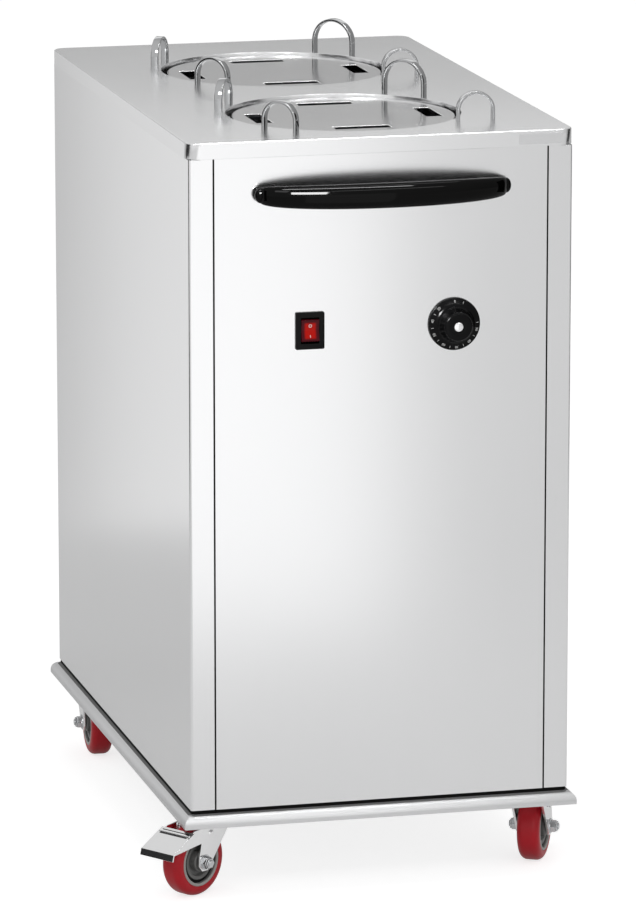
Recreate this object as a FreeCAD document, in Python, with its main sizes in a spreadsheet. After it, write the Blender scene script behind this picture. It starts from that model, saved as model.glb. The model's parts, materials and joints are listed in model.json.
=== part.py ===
"""Plate dispenser cart: a stainless cabinet on four swivel casters, the front two
with brakes, with two sprung plate lifts, four bent strip guides round each well,
a bow handle, a lit rocker switch and a thermostat. Millimetres, +Z up, front towards -Y, origin on
the floor under the middle of the cart."""
import FreeCAD
import Part
import Sketcher
import math
import os

SIZES = [
    # cabinet, outside sizes
    ("width", 480.0),
    ("depth", 795.0),
    ("height", 942.0),
    ("sheet", 1.2),
    ("fold_radius", 3.0),
    # base tray with its rounded rim
    ("rim_overhang", 10.0),
    ("rim_bottom", 92.0),
    ("rim_height", 16.0),
    ("rim_round", 12.0),
    ("shadow_gap", 5.0),
    ("tray_sheet", 1.5),
    ("tray_inset", 2.5),
    # panels
    ("pillar_width", 30.0),
    ("panel_gap", 2.0),
    ("hem_depth", 12.5),
    ("air_slot_length", 64.0),
    ("air_slot_height", 6.0),
    ("inlet_inset", 90.0),
    ("inlet_z", 180.0),
    # top cover
    ("cover_overhang", 2.0),
    ("skirt_height", 20.0),
    ("cover_corner", 17.0),
    ("cover_edge", 1.2),
    ("well_front_inset", 189.5),
    ("well_rear_inset", 243.5),
    ("well_radius", 146.0),
    ("collar_depth", 12.0),
    ("badge_length", 54.0),
    ("badge_height", 13.0),
    ("badge_inset", 16.0),
    # corner posts and rails
    ("post_leg", 45.0),
    ("post_sheet", 1.5),
    ("post_drop", 37.5),
    ("rail_leg", 32.0),
    ("rail_sheet", 2.0),
    ("rail_end_gap", 27.5),
    # frames of one lift
    ("frame_sheet", 2.0),
    ("frame_bearing", 13.2),
    ("lower_frame_inset", 23.8),
    ("frame_depth", 340.0),
    ("frame_flange", 15.0),
    ("lower_frame_top", 150.0),
    # plate guides, bent from flat strip
    ("strip_thick", 3.0),
    ("strip_width", 8.0),
    ("loop_width", 48.0),
    ("loop_rise", 36.0),
    ("tall_loop_width", 60.0),
    ("tall_loop_rise", 46.0),
    ("guide_standoff", 8.5),
    ("strip_clearance", 0.2),
    # lift: platform, carrier, rods and springs
    ("platform_play", 8.0),
    ("platform_drop", 4.0),
    ("platform_rim", 12.0),
    ("carrier_drop", 200.0),
    ("carrier_width", 70.0),
    ("carrier_end", 14.0),
    ("column_radius", 25.0),
    ("lift_travel", 400.0),
    ("rod_spacing", 26.0),
    ("rod_radius", 6.0),
    ("rod_play", 0.05),
    ("sleeve_radius", 12.0),
    ("sleeve_length", 60.0),
    ("stop_gap", 0.4),
    ("spring_clearance", 28.0),
    ("spring_wire", 2.4),
    ("spring_radius", 10.0),
    ("pin_radius", 2.5),
    ("pin_drop", 9.0),
    ("lug_width", 10.0),
    ("lug_depth", 16.0),
    ("lug_slot", 10.0),
    # casters
    ("caster_inset_x", 36.0),
    ("caster_inset_y", 47.5),
    ("caster_trail", 34.0),
    ("wheel_radius", 44.0),
    ("wheel_width", 32.0),
    ("hub_radius", 14.0),
    ("tread_width", 29.0),
    ("tread_shoulder", 5.0),
    ("axle_radius", 4.0),
    ("turn_play", 0.05),
    ("leg_sheet", 3.0),
    ("leg_gap", 36.0),
    ("plate_thick", 3.0),
    ("race_height", 12.5),
    ("race_radius", 25.0),
    ("kingpin_radius", 5.0),
    ("bolt_neck", 8.0),
    ("bolt_play", 0.2),
    ("pedal_reach", 100.0),
    ("pedal_half_width", 27.0),
    ("pedal_inner_end", 60.0),
    ("front_left_turn", 34.7),
    ("front_right_turn", -118.5),
    ("rear_left_turn", 88.0),
    ("rear_right_turn", -150.0),
    # controls on the front panel
    ("control_drop", 235.0),
    ("switch_x", -90.0),
    ("knob_x", 91.0),
    ("bezel_width", 36.0),
    ("bezel_height", 46.0),
    ("bezel_thick", 2.5),
    ("rocker_width", 22.0),
    ("rocker_height", 31.0),
    ("knob_radius", 32.5),
    ("grip_radius", 21.0),
    ("knob_depth", 24.0),
    ("spindle_radius", 3.0),
    # handle
    ("handle_drop", 65.0),
    ("handle_length", 320.0),
    ("handle_height", 31.0),
    ("handle_depth", 20.0),
    ("handle_bow", 34.0),
    ("handle_screw_inset", 32.0),
    # heating
    ("heater_tube", 4.25),
    ("heater_z", 165.0),
]


class Size:
    """A number that remembers the sheet expression it comes from."""

    def __init__(self, value, text):
        self.value = float(value)
        self.text = text

    def __add__(self, other):
        other = as_size(other)
        return Size(self.value + other.value, "(%s + %s)" % (self.text, other.text))

    def __radd__(self, other):
        return as_size(other) + self

    def __sub__(self, other):
        other = as_size(other)
        return Size(self.value - other.value, "(%s - %s)" % (self.text, other.text))

    def __rsub__(self, other):
        return as_size(other) - self

    def __mul__(self, other):
        other = as_size(other)
        return Size(self.value * other.value, "(%s * %s)" % (self.text, other.text))

    def __rmul__(self, other):
        return as_size(other) * self

    def __truediv__(self, other):
        other = as_size(other)
        return Size(self.value / other.value, "(%s / %s)" % (self.text, other.text))

    def __neg__(self):
        return Size(-self.value, "(0 - %s)" % self.text)


def as_size(number):
    if isinstance(number, Size):
        return number
    return Size(number, repr(float(number)))


def cosd(degrees):
    degrees = as_size(degrees)
    return Size(math.cos(math.radians(degrees.value)), "cos(%s * 1deg)" % degrees.text)


def sind(degrees):
    degrees = as_size(degrees)
    return Size(math.sin(math.radians(degrees.value)), "sin(%s * 1deg)" % degrees.text)


class Sizes:
    """The sheet's cells as attributes, such as d.width."""


def make_sheet(doc):
    sheet = doc.addObject("Spreadsheet::Sheet", "Sizes")
    sizes = Sizes()
    for row, (alias, value) in enumerate(SIZES, start=1):
        sheet.set("A%d" % row, alias)
        sheet.set("B%d" % row, repr(value))
        sheet.setAlias("B%d" % row, alias)
    doc.recompute()
    for alias, _ in SIZES:
        setattr(sizes, alias, Size(getattr(sheet, alias), "Sizes.%s" % alias))
    return sizes


doc = FreeCAD.newDocument("plate_dispenser_cart")
d = make_sheet(doc)
NODES = []

# Levels that several pieces share.
PANEL_BOTTOM = d.rim_bottom + d.rim_height + d.shadow_gap
DECK_UNDER = PANEL_BOTTOM - d.tray_sheet
COVER_UNDER = d.height - d.sheet
SKIRT_BOTTOM = d.height - d.skirt_height
HALF_WIDTH = d.width / 2
HALF_DEPTH = d.depth / 2
INNER_X = HALF_WIDTH - d.sheet
POST_Y = HALF_DEPTH - d.hem_depth
POST_TOP = d.height - d.post_drop
RAIL_TOP = POST_TOP + d.rail_sheet
FRAME_TOP = RAIL_TOP + d.frame_sheet
PLATFORM_TOP = d.height - d.platform_drop
PLATFORM_RADIUS = d.well_radius - d.platform_play
CARRIER_TOP = PLATFORM_TOP - d.carrier_drop
SPRING_X = PLATFORM_RADIUS + d.spring_clearance
ROD_X = SPRING_X + d.rod_spacing
CONTROL_Z = d.height - d.control_drop
HANDLE_Z = d.height - d.handle_drop
HANDLE_SCREW_X = d.handle_length / 2 - d.handle_screw_inset
CASTER_X = HALF_WIDTH - d.caster_inset_x
CASTER_Y = HALF_DEPTH - d.caster_inset_y
WELLS = (
    ("front", d.well_front_inset - HALF_DEPTH),
    ("rear", HALF_DEPTH - d.well_rear_inset),
)
# Caster name, side signs in x and y, the way its trail points in degrees from -X, and brake.
CASTERS = (
    ("front_left", -1, -1, d.front_left_turn, True),
    ("front_right", 1, -1, d.front_right_turn, True),
    ("rear_left", -1, 1, d.rear_left_turn, False),
    ("rear_right", 1, 1, d.rear_right_turn, False),
)
# The origin is under the middle of the whole footprint: the left and the right brake pedal
# reach out furthest across, the handle and the rim's rear edge furthest along.
LEFT_REACH = (CASTER_X + d.pedal_reach * cosd(d.front_left_turn)
              + d.pedal_half_width * sind(d.front_left_turn))
RIGHT_REACH = (CASTER_X - d.pedal_reach * cosd(d.front_right_turn)
               - d.pedal_half_width * sind(d.front_right_turn))
FRONT_REACH = HALF_DEPTH + d.handle_depth + d.handle_bow
REAR_REACH = HALF_DEPTH + d.rim_overhang
CABINET_X = (LEFT_REACH - RIGHT_REACH) / 2
CABINET_Y = (FRONT_REACH - REAR_REACH) / 2


def bind(obj, prop, size):
    obj.setExpression(prop, as_size(size).text)


def place(obj, x=0, y=0, turn=0):
    """Put an object at x, y of the cabinet's own middle, turned about Z by degrees."""
    x = as_size(x) + CABINET_X
    y = as_size(y) + CABINET_Y
    rotation = FreeCAD.Rotation(FreeCAD.Vector(0, 0, 1), as_size(turn).value)
    obj.Placement = FreeCAD.Placement(FreeCAD.Vector(x.value, y.value, 0), rotation)
    bind(obj, "Placement.Base.x", x)
    bind(obj, "Placement.Base.y", y)


def new_body(label):
    body = doc.addObject("PartDesign::Body", label)
    body.Label = label
    NODES.append(body)
    return body


def new_sketch(body, plane, offset=0):
    """A sketch on one of the body's own planes, moved by offset along the plane's normal."""
    sketch = body.newObject("Sketcher::SketchObject", "Sketch")
    base = [f for f in body.Origin.OriginFeatures if f.Role == plane + "_Plane"][0]
    sketch.AttachmentSupport = [(base, "")]
    sketch.MapMode = "FlatFace"
    offset = as_size(offset)
    shift = FreeCAD.Vector(0, 0, offset.value)
    sketch.AttachmentOffset = FreeCAD.Placement(shift, FreeCAD.Rotation())
    bind(sketch, "AttachmentOffset.Base.z", offset)
    return sketch


def pin_point(sketch, geo, pos, x, y):
    """Fix one point of a sketch at x, y with two bound distances from the origin."""
    for kind, size in (("DistanceX", as_size(x)), ("DistanceY", as_size(y))):
        index = sketch.addConstraint(Sketcher.Constraint(kind, -1, 1, geo, pos, size.value))
        bind(sketch, "Constraints[%d]" % index, size)


def add_polygon(sketch, points):
    points = [(as_size(x), as_size(y)) for x, y in points]
    first = sketch.GeometryCount
    count = len(points)
    for i, (x, y) in enumerate(points):
        nx, ny = points[(i + 1) % count]
        start = FreeCAD.Vector(x.value, y.value, 0)
        end = FreeCAD.Vector(nx.value, ny.value, 0)
        sketch.addGeometry(Part.LineSegment(start, end))
    for i in range(count):
        after = first + (i + 1) % count
        sketch.addConstraint(Sketcher.Constraint("Coincident", first + i, 2, after, 1))
    for i, (x, y) in enumerate(points):
        pin_point(sketch, first + i, 1, x, y)


def add_rect(sketch, x0, y0, x1, y1):
    add_polygon(sketch, [(x0, y0), (x1, y0), (x1, y1), (x0, y1)])


def add_circle(sketch, x, y, radius):
    x, y, radius = as_size(x), as_size(y), as_size(radius)
    centre = FreeCAD.Vector(x.value, y.value, 0)
    geo = sketch.addGeometry(Part.Circle(centre, FreeCAD.Vector(0, 0, 1), radius.value))
    pin_point(sketch, geo, 3, x, y)
    index = sketch.addConstraint(Sketcher.Constraint("Radius", geo, radius.value))
    bind(sketch, "Constraints[%d]" % index, radius)


def add_turned_rect(sketch, x, y, half_long, half_wide, turn):
    """A rectangle centred on x, y whose long side is turned from the x direction."""
    c, s = cosd(turn), sind(turn)
    corners = []
    for a, b in ((-1, -1), (1, -1), (1, 1), (-1, 1)):
        along = as_size(half_long) * a
        across = as_size(half_wide) * b
        corners.append((x + along * c - across * s, y + along * s + across * c))
    add_polygon(sketch, corners)


def feature(body, kind, sketch, length=None, reverse=False):
    """Pad or Pocket of a sketch."""
    made = body.newObject("PartDesign::" + kind, kind)
    made.Profile = sketch
    made.Type = "Length"
    made.Reversed = reverse
    bind(made, "Length", length)
    doc.recompute()
    return made


def pad(body, sketch, length, reverse=False):
    return feature(body, "Pad", sketch, length, reverse)


def pocket(body, sketch, length, reverse=False):
    """Cut a sketch, and make sure that it really cut something."""
    before = body.Shape.Volume
    made = feature(body, "Pocket", sketch, length, reverse)
    if body.Shape.Volume > before - 1e-3:
        raise ValueError("pocket in %s cut nothing" % body.Label)
    return made


def revolve(body, sketch, axis):
    made = body.newObject("PartDesign::Revolution", "Revolution")
    made.Profile = sketch
    made.ReferenceAxis = (sketch, [axis])
    made.Angle = 360.0
    doc.recompute()
    return made


def edge_feature(body, kind, prop, size, test):
    """Fillet or Chamfer on every edge of the body that the test accepts."""
    base = body.Tip
    names = ["Edge%d" % i for i, e in enumerate(base.Shape.Edges, start=1) if test(e)]
    made = body.newObject("PartDesign::" + kind, kind)
    made.Base = (base, names)
    bind(made, prop, size)
    doc.recompute()
    return made


def round_edges(body, radius, test):
    return edge_feature(body, "Fillet", "Radius", radius, test)


def chamfer_edges(body, size, test):
    return edge_feature(body, "Chamfer", "Size", size, test)


def hollow_out(body, thickness, open_z):
    """Turn the solid into a shell of even thickness that is open at the level face open_z."""
    base = body.Tip
    level = as_size(open_z).value
    faces = base.Shape.Faces
    names = ["Face%d" % i for i, f in enumerate(faces, start=1) if is_level(f, level)]
    shell = body.newObject("PartDesign::Thickness", "Thickness")
    shell.Base = (base, names)
    shell.Reversed = True
    bind(shell, "Value", thickness)
    doc.recompute()
    return shell


def is_vertical(edge):
    box = edge.BoundBox
    return box.XLength < 0.01 and box.YLength < 0.01 and box.ZLength > 1.0


def is_level(edge, z):
    box = edge.BoundBox
    return box.ZLength < 0.01 and abs(box.ZMin - as_size(z).value) < 0.01


def group(label, solids):
    """One solid, or several identical small pieces, as one node."""
    made = doc.addObject("Part::Feature", label)
    made.Label = label
    made.Shape = Part.makeCompound(solids)
    place(made)
    NODES.append(made)


def vec(x, y, z):
    return FreeCAD.Vector(as_size(x).value, as_size(y).value, as_size(z).value)


def rod(x, y, z, radius, length, direction=(0, 0, 1)):
    return Part.makeCylinder(as_size(radius).value, as_size(length).value, vec(x, y, z), vec(*direction))


def hexagon(x, y, z, across, length):
    """A hexagonal prism standing on z, measured across its flats."""
    reach = across / math.sqrt(3.0)
    corners = []
    for i in range(7):
        angle = math.radians(60 * i)
        corners.append(vec(x + reach * math.cos(angle), y + reach * math.sin(angle), z))
    return Part.Face(Part.makePolygon(corners)).extrude(vec(0, 0, length))


# ---------------------------------------------------------------- base and cabinet

def base_tray():
    """Pressed tray: flat deck, short wall, and a rim that rolls down in a quarter round."""
    body = new_body("base_tray")
    rim_x = HALF_WIDTH + d.rim_overhang
    rim_y = HALF_DEPTH + d.rim_overhang
    wall_x = HALF_WIDTH - d.tray_inset
    wall_y = HALF_DEPTH - d.tray_inset
    rim_top = d.rim_bottom + d.rim_height
    sketch = new_sketch(body, "XY", d.rim_bottom)
    add_rect(sketch, -rim_x, -rim_y, rim_x, rim_y)
    pad(body, sketch, d.rim_height)
    round_edges(body, d.rim_round, lambda e: is_level(e, rim_top))
    hollow_out(body, d.tray_sheet, d.rim_bottom)
    sketch = new_sketch(body, "XY", rim_top - d.tray_sheet)
    add_rect(sketch, -wall_x, -wall_y, wall_x, wall_y)
    pad(body, sketch, d.shadow_gap + d.tray_sheet)
    inside_x = wall_x - d.tray_sheet
    inside_y = wall_y - d.tray_sheet
    sketch = new_sketch(body, "XY", d.rim_bottom)
    add_rect(sketch, -inside_x, -inside_y, inside_x, inside_y)
    pocket(body, sketch, DECK_UNDER - d.rim_bottom, reverse=True)
    sketch = new_sketch(body, "XY", PANEL_BOTTOM)
    half_hole = d.bolt_neck / 2 + d.bolt_play
    for _, sx, sy, _, _ in CASTERS:
        for bx, by in CASTER_BOLTS:
            x = CASTER_X * sx + bx
            y = CASTER_Y * sy + by
            add_rect(sketch, x - half_hole, y - half_hole, x + half_hole, y + half_hole)
    pocket(body, sketch, d.tray_sheet * 2)
    sketch = new_sketch(body, "XY", PANEL_BOTTOM)
    for _, well_y in WELLS:
        for row in (-2, -1, 0, 1, 2):
            middle = well_y + row * DECK_SLOT_PITCH
            add_rect(sketch, -DECK_SLOT_HALF, middle - 4, DECK_SLOT_HALF, middle + 4)
    pocket(body, sketch, d.tray_sheet * 2)
    place(body)


DECK_SLOT_PITCH = 24
DECK_SLOT_HALF = 45
CASTER_BOLTS = ((-23, -25), (23, -25), (23, 25), (-23, 25))


def side_panel(label, side):
    """Folded side sheet with a return and a hem at the front and the back, standing on
    the deck, its top corners relieved where the cover's rounded corners come down."""
    body = new_body(label)
    outer = HALF_WIDTH * side
    inner = INNER_X * side
    lip = (HALF_WIDTH - d.pillar_width) * side
    lip_in = (HALF_WIDTH - d.pillar_width + d.sheet) * side
    face_y = HALF_DEPTH
    sheet_y = HALF_DEPTH - d.sheet
    points = [
        (outer, -face_y), (outer, face_y), (lip, face_y), (lip, POST_Y),
        (lip_in, POST_Y), (lip_in, sheet_y), (inner, sheet_y), (inner, -sheet_y),
        (lip_in, -sheet_y), (lip_in, -POST_Y), (lip, -POST_Y), (lip, -face_y),
    ]
    sketch = new_sketch(body, "XY", PANEL_BOTTOM)
    add_polygon(sketch, points)
    pad(body, sketch, COVER_UNDER - PANEL_BOTTOM)
    far_x = HALF_WIDTH.value - 0.01
    far_y = HALF_DEPTH.value - 0.01
    near_x = INNER_X.value
    near_y = sheet_y.value

    def outer_corner(edge):
        box = edge.BoundBox
        return is_vertical(edge) and abs(box.XMin) > far_x and abs(box.YMin) > far_y

    def inner_corner(edge):
        box = edge.BoundBox
        at_corner = abs(abs(box.XMin) - near_x) < 0.01 and abs(abs(box.YMin) - near_y) < 0.01
        return is_vertical(edge) and at_corner

    round_edges(body, d.fold_radius, outer_corner)
    round_edges(body, d.fold_radius - d.sheet, inner_corner)
    relief = d.cover_corner - d.cover_overhang
    sketch = new_sketch(body, "XY", COVER_UNDER)
    for end in (-1, 1):
        add_rect(sketch, outer - relief * side, (face_y - relief) * end, outer + side, (face_y + 1) * end)
    pocket(body, sketch, COVER_UNDER - SKIRT_BOTTOM + CORNER_GAP)
    place(body)


CORNER_GAP = 0.3


def end_panel_blank(label, front):
    """Front or rear sheet with its two hems, standing between the pillars."""
    body = new_body(label)
    half = HALF_WIDTH - d.pillar_width - d.panel_gap
    sign = -1 if front else 1
    face_y = HALF_DEPTH * sign
    sheet_y = (HALF_DEPTH - d.sheet) * sign
    hem_y = POST_Y * sign
    points = [
        (-half, face_y), (half, face_y), (half, hem_y), (half - d.sheet, hem_y),
        (half - d.sheet, sheet_y), (d.sheet - half, sheet_y), (d.sheet - half, hem_y), (-half, hem_y),
    ]
    sketch = new_sketch(body, "XY", PANEL_BOTTOM)
    add_polygon(sketch, points)
    pad(body, sketch, COVER_UNDER - PANEL_BOTTOM)
    return body


def front_panel():
    """Service panel with the cut-outs for the switch, the thermostat and the handle screws."""
    body = end_panel_blank("front_panel", True)
    sketch = new_sketch(body, "XZ", HALF_DEPTH)
    half_w = d.bezel_width / 2 - BEZEL_LAP + CUTOUT_PLAY
    half_h = d.bezel_height / 2 - BEZEL_LAP + CUTOUT_PLAY
    x, z = d.switch_x, CONTROL_Z
    add_rect(sketch, x - half_w, z - half_h, x + half_w, z + half_h)
    add_circle(sketch, d.knob_x, CONTROL_Z, d.spindle_radius + 2)
    for side in (-1, 1):
        add_circle(sketch, HANDLE_SCREW_X * side, HANDLE_Z, HANDLE_SCREW_RADIUS + 0.4)
        add_circle(sketch, d.knob_x + STUD_X * side, CONTROL_Z, STUD_RADIUS + CUTOUT_PLAY)
    pocket(body, sketch, d.sheet * 2)
    place(body)


# The bezel laps the panel round its cut-out; the thermostat has two studs and the handle two screws.
BEZEL_LAP = 3.2
CUTOUT_PLAY = 0.2
STUD_X = 14
STUD_RADIUS = 2
HANDLE_SCREW_RADIUS = 2.9


def rear_panel():
    """Rear sheet with rows of air slots and the hole for the cable inlet."""
    body = end_panel_blank("rear_panel", False)
    sketch = new_sketch(body, "XZ", -HALF_DEPTH)
    half_long = d.air_slot_length / 2
    half_high = d.air_slot_height / 2
    for column in (-1, 0, 1):
        for row in range(5):
            x = as_size(column * AIR_SLOT_PITCH_X)
            z = PANEL_BOTTOM + AIR_SLOT_RISE + row * AIR_SLOT_PITCH_Z
            add_rect(sketch, x - half_long, z - half_high, x + half_long, z + half_high)
    add_circle(sketch, INLET_X, d.inlet_z, INLET_RADIUS + CUTOUT_PLAY)
    pocket(body, sketch, d.sheet * 2, reverse=True)
    place(body)


AIR_SLOT_PITCH_X = 90
AIR_SLOT_PITCH_Z = 22
AIR_SLOT_RISE = 90
INLET_X = HALF_WIDTH - d.inlet_inset
INLET_RADIUS = 8


def guide_spots(well_y):
    """Centre, plane direction and tall or not, for the four guides of one well."""
    c = d.well_radius + d.guide_standoff
    return (
        ("left", c * cosd(150), well_y + c * sind(150), as_size(60), False),
        ("near", c * cosd(226), well_y + c * sind(226), as_size(-44), False),
        ("right", c * RIGHT_GUIDE_OUT, well_y - c * RIGHT_GUIDE_FORWARD, as_size(0), False),
        ("far", c * cosd(46), well_y + c * sind(46), as_size(-44), True),
    )


# The right guide faces the front and stands off the circle, as shares of the circle's radius.
RIGHT_GUIDE_OUT = 0.92
RIGHT_GUIDE_FORWARD = 0.635


def leg_offset(tall):
    width = d.tall_loop_width if tall else d.loop_width
    return (width - d.strip_thick) / 2


def add_guide_slots(sketch, well_y):
    for _, x, y, turn, tall in guide_spots(well_y):
        reach = leg_offset(tall)
        for side in (-1, 1):
            leg_x = x + reach * side * cosd(turn)
            leg_y = y + reach * side * sind(turn)
            half_thick = d.strip_thick / 2 + d.strip_clearance
            half_width = d.strip_width / 2 + d.strip_clearance
            add_turned_rect(sketch, leg_x, leg_y, half_thick, half_width, turn)


def top_cover():
    """Top sheet with a folded skirt and two round wells with turned-down collars."""
    body = new_body("top_cover")
    half_x = HALF_WIDTH + d.cover_overhang
    half_y = HALF_DEPTH + d.cover_overhang
    sketch = new_sketch(body, "XY", SKIRT_BOTTOM)
    add_rect(sketch, -half_x, -half_y, half_x, half_y)
    pad(body, sketch, d.skirt_height)
    round_edges(body, d.cover_corner, is_vertical)
    chamfer_edges(body, d.cover_edge, lambda e: is_level(e, d.height))
    hollow_out(body, d.sheet, SKIRT_BOTTOM)
    sketch = new_sketch(body, "XY", COVER_UNDER - d.collar_depth)
    for _, well_y in WELLS:
        add_circle(sketch, 0, well_y, d.well_radius + d.sheet)
    pad(body, sketch, d.collar_depth + d.sheet / 2)
    sketch = new_sketch(body, "XY", d.height)
    for _, well_y in WELLS:
        add_circle(sketch, 0, well_y, d.well_radius)
    pocket(body, sketch, d.skirt_height)
    sketch = new_sketch(body, "XY", d.height)
    for _, well_y in WELLS:
        add_guide_slots(sketch, well_y)
    pocket(body, sketch, d.sheet * 2)
    place(body)


def corner_posts():
    """Four equal angle posts standing on the deck inside the cabinet corners."""
    solids = []
    height = (POST_TOP - PANEL_BOTTOM).value
    x, y, leg, thick = INNER_X.value, POST_Y.value, d.post_leg.value, d.post_sheet.value
    outline = (
        (x, y), (x - leg, y), (x - leg, y - thick),
        (x - thick, y - thick), (x - thick, y - leg), (x, y - leg),
    )
    for _, sx, sy, _, _ in CASTERS:
        points = [vec(px * sx, py * sy, PANEL_BOTTOM) for px, py in outline]
        solids.append(Part.Face(Part.makePolygon(points + points[:1])).extrude(vec(0, 0, height)))
    group("corner_posts", solids)


def upper_rails():
    """Two angle rails on the posts, under the top cover, that carry the lift frames."""
    solids = []
    half = (HALF_DEPTH - d.rail_end_gap).value
    x, leg, thick = INNER_X.value, d.rail_leg.value, d.rail_sheet.value
    low, high = POST_TOP.value, COVER_UNDER.value
    outline = (
        (x, low), (x - leg, low), (x - leg, low + thick),
        (x - thick, low + thick), (x - thick, high), (x, high),
    )
    for side in (-1, 1):
        points = [vec(px * side, -half, pz) for px, pz in outline]
        solids.append(Part.Face(Part.makePolygon(points + points[:1])).extrude(vec(0, half * 2, 0)))
    group("upper_rails", solids)


# ---------------------------------------------------------------- lifts

def lug_pair(body, pin_z, sheet_z, above):
    """Two lugs and a cross pin at each end, for a spring's eye to hook on."""
    half_lug = d.lug_width / 2
    for side in (-1, 1):
        centre = SPRING_X * side
        sketch = new_sketch(body, "XZ", -d.lug_depth / 2)
        low = sheet_z if above else pin_z - PIN_EDGE
        high = pin_z + PIN_EDGE if above else sheet_z
        add_rect(sketch, centre - half_lug, low, centre + half_lug, high)
        pad(body, sketch, d.lug_depth)
    slot = new_sketch(body, "XZ", -d.lug_slot / 2)
    for side in (-1, 1):
        centre = SPRING_X * side
        low = sheet_z if above else pin_z - PIN_EDGE - 2
        high = pin_z + PIN_EDGE + 2 if above else sheet_z
        add_rect(slot, centre - half_lug - 1, low, centre + half_lug + 1, high)
    pocket(body, slot, d.lug_slot, reverse=True)
    for side in (-1, 1):
        sketch = new_sketch(body, "XZ", 1 - d.lug_depth / 2)
        add_circle(sketch, SPRING_X * side, pin_z, d.pin_radius)
        pad(body, sketch, d.lug_depth - 2)


PIN_EDGE = 4
UPPER_PIN_Z = RAIL_TOP - d.pin_drop
LOWER_PIN_Z = CARRIER_TOP + d.pin_drop


def upper_frame(label, well_y):
    """Plate under the cover that holds the guides, the rod tops and the spring lugs."""
    body = new_body(label)
    half_x = INNER_X - d.rail_leg + d.frame_bearing
    half_y = d.frame_depth / 2
    flange_x = INNER_X - d.rail_leg - FLANGE_INSET
    sketch = new_sketch(body, "XY", RAIL_TOP)
    add_rect(sketch, -half_x, -half_y, half_x, half_y)
    pad(body, sketch, d.frame_sheet)
    for side in (-1, 1):
        sketch = new_sketch(body, "XY", RAIL_TOP - d.frame_flange)
        edge = half_y * side
        add_rect(sketch, -flange_x, edge, flange_x, edge - d.frame_sheet * side)
        pad(body, sketch, d.frame_flange + d.frame_sheet / 2)
    sketch = new_sketch(body, "XY", FRAME_TOP)
    add_circle(sketch, 0, 0, d.well_radius - 1)
    for side in (-1, 1):
        add_circle(sketch, ROD_X * side, 0, ROD_THREAD_RADIUS + CUTOUT_PLAY)
    add_guide_slots(sketch, as_size(0))
    pocket(body, sketch, d.frame_sheet * 2)
    lug_pair(body, UPPER_PIN_Z, RAIL_TOP + d.frame_sheet / 2, False)
    place(body, y=well_y)


FLANGE_INSET = 16.8
ROD_THREAD_RADIUS = 4


def lower_frame(label, well_y):
    """Plate on the deck that the guides and rods stand on, with bars under the heater."""
    body = new_body(label)
    half_x = INNER_X - d.lower_frame_inset
    half_y = d.frame_depth / 2
    top = d.lower_frame_top
    sketch = new_sketch(body, "XY", top - d.frame_sheet)
    add_rect(sketch, -half_x, -half_y, half_x, half_y)
    pad(body, sketch, d.frame_sheet)
    for side in (-1, 1):
        sketch = new_sketch(body, "XY", PANEL_BOTTOM)
        edge = half_x * side
        add_rect(sketch, edge, -half_y, edge - d.frame_sheet * side, half_y)
        pad(body, sketch, top - PANEL_BOTTOM - d.frame_sheet / 2)
    sketch = new_sketch(body, "XY", top)
    for row in (-1.5, -0.5, 0.5, 1.5):
        middle = as_size(row * HEAT_SLOT_PITCH)
        add_rect(sketch, -30, middle - 7, 30, middle + 7)
    for side in (-1, 1):
        middle = as_size(HEAT_SLOT_X * side)
        add_rect(sketch, middle - 8, -50, middle + 8, 50)
    pocket(body, sketch, d.frame_sheet * 2)
    for side in (-1, 1):
        sketch = new_sketch(body, "XY", top - d.frame_sheet / 2)
        middle = as_size(HEAT_SLOT_PITCH * side)
        add_rect(sketch, -85, middle - 3, 85, middle + 3)
        pad(body, sketch, d.heater_z - d.heater_tube - top + d.frame_sheet / 2)
    place(body, y=well_y)


HEAT_SLOT_PITCH = 60
HEAT_SLOT_X = 100


def plate_guide(label, x, y, turn, tall):
    """Flat strip bent into a long hairpin whose arch stands above the cover."""
    body = new_body(label)
    reach = leg_offset(tall)
    rise = d.tall_loop_rise if tall else d.loop_rise
    arch_z = d.height + rise - d.strip_thick / 2 - reach
    foot = d.lower_frame_top
    path = new_sketch(body, "XZ")
    circle = Part.Circle(vec(0, arch_z, 0), FreeCAD.Vector(0, 0, 1), reach.value)
    half_turn = Part.ArcOfCircle(circle, 0, math.pi)
    right = path.addGeometry(Part.LineSegment(vec(reach, foot, 0), vec(reach, arch_z, 0)))
    arch = path.addGeometry(half_turn)
    left = path.addGeometry(Part.LineSegment(vec(-reach, arch_z, 0), vec(-reach, foot, 0)))
    path.addConstraint(Sketcher.Constraint("Tangent", right, 2, arch, 1))
    path.addConstraint(Sketcher.Constraint("Tangent", arch, 2, left, 1))
    pin_point(path, right, 1, reach, foot)
    pin_point(path, arch, 3, 0, arch_z)
    path.addConstraint(Sketcher.Constraint("Vertical", right))
    pin_point(path, left, 2, -reach, foot)
    profile = new_sketch(body, "XY", foot)
    half_thick = d.strip_thick / 2
    half_width = d.strip_width / 2
    add_rect(profile, reach - half_thick, -half_width, reach + half_thick, half_width)
    pipe = body.newObject("PartDesign::AdditivePipe", "Pipe")
    pipe.Profile = profile
    pipe.Spine = (path, ["Edge1", "Edge2", "Edge3"])
    doc.recompute()
    place(body, x, y, turn)


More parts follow.
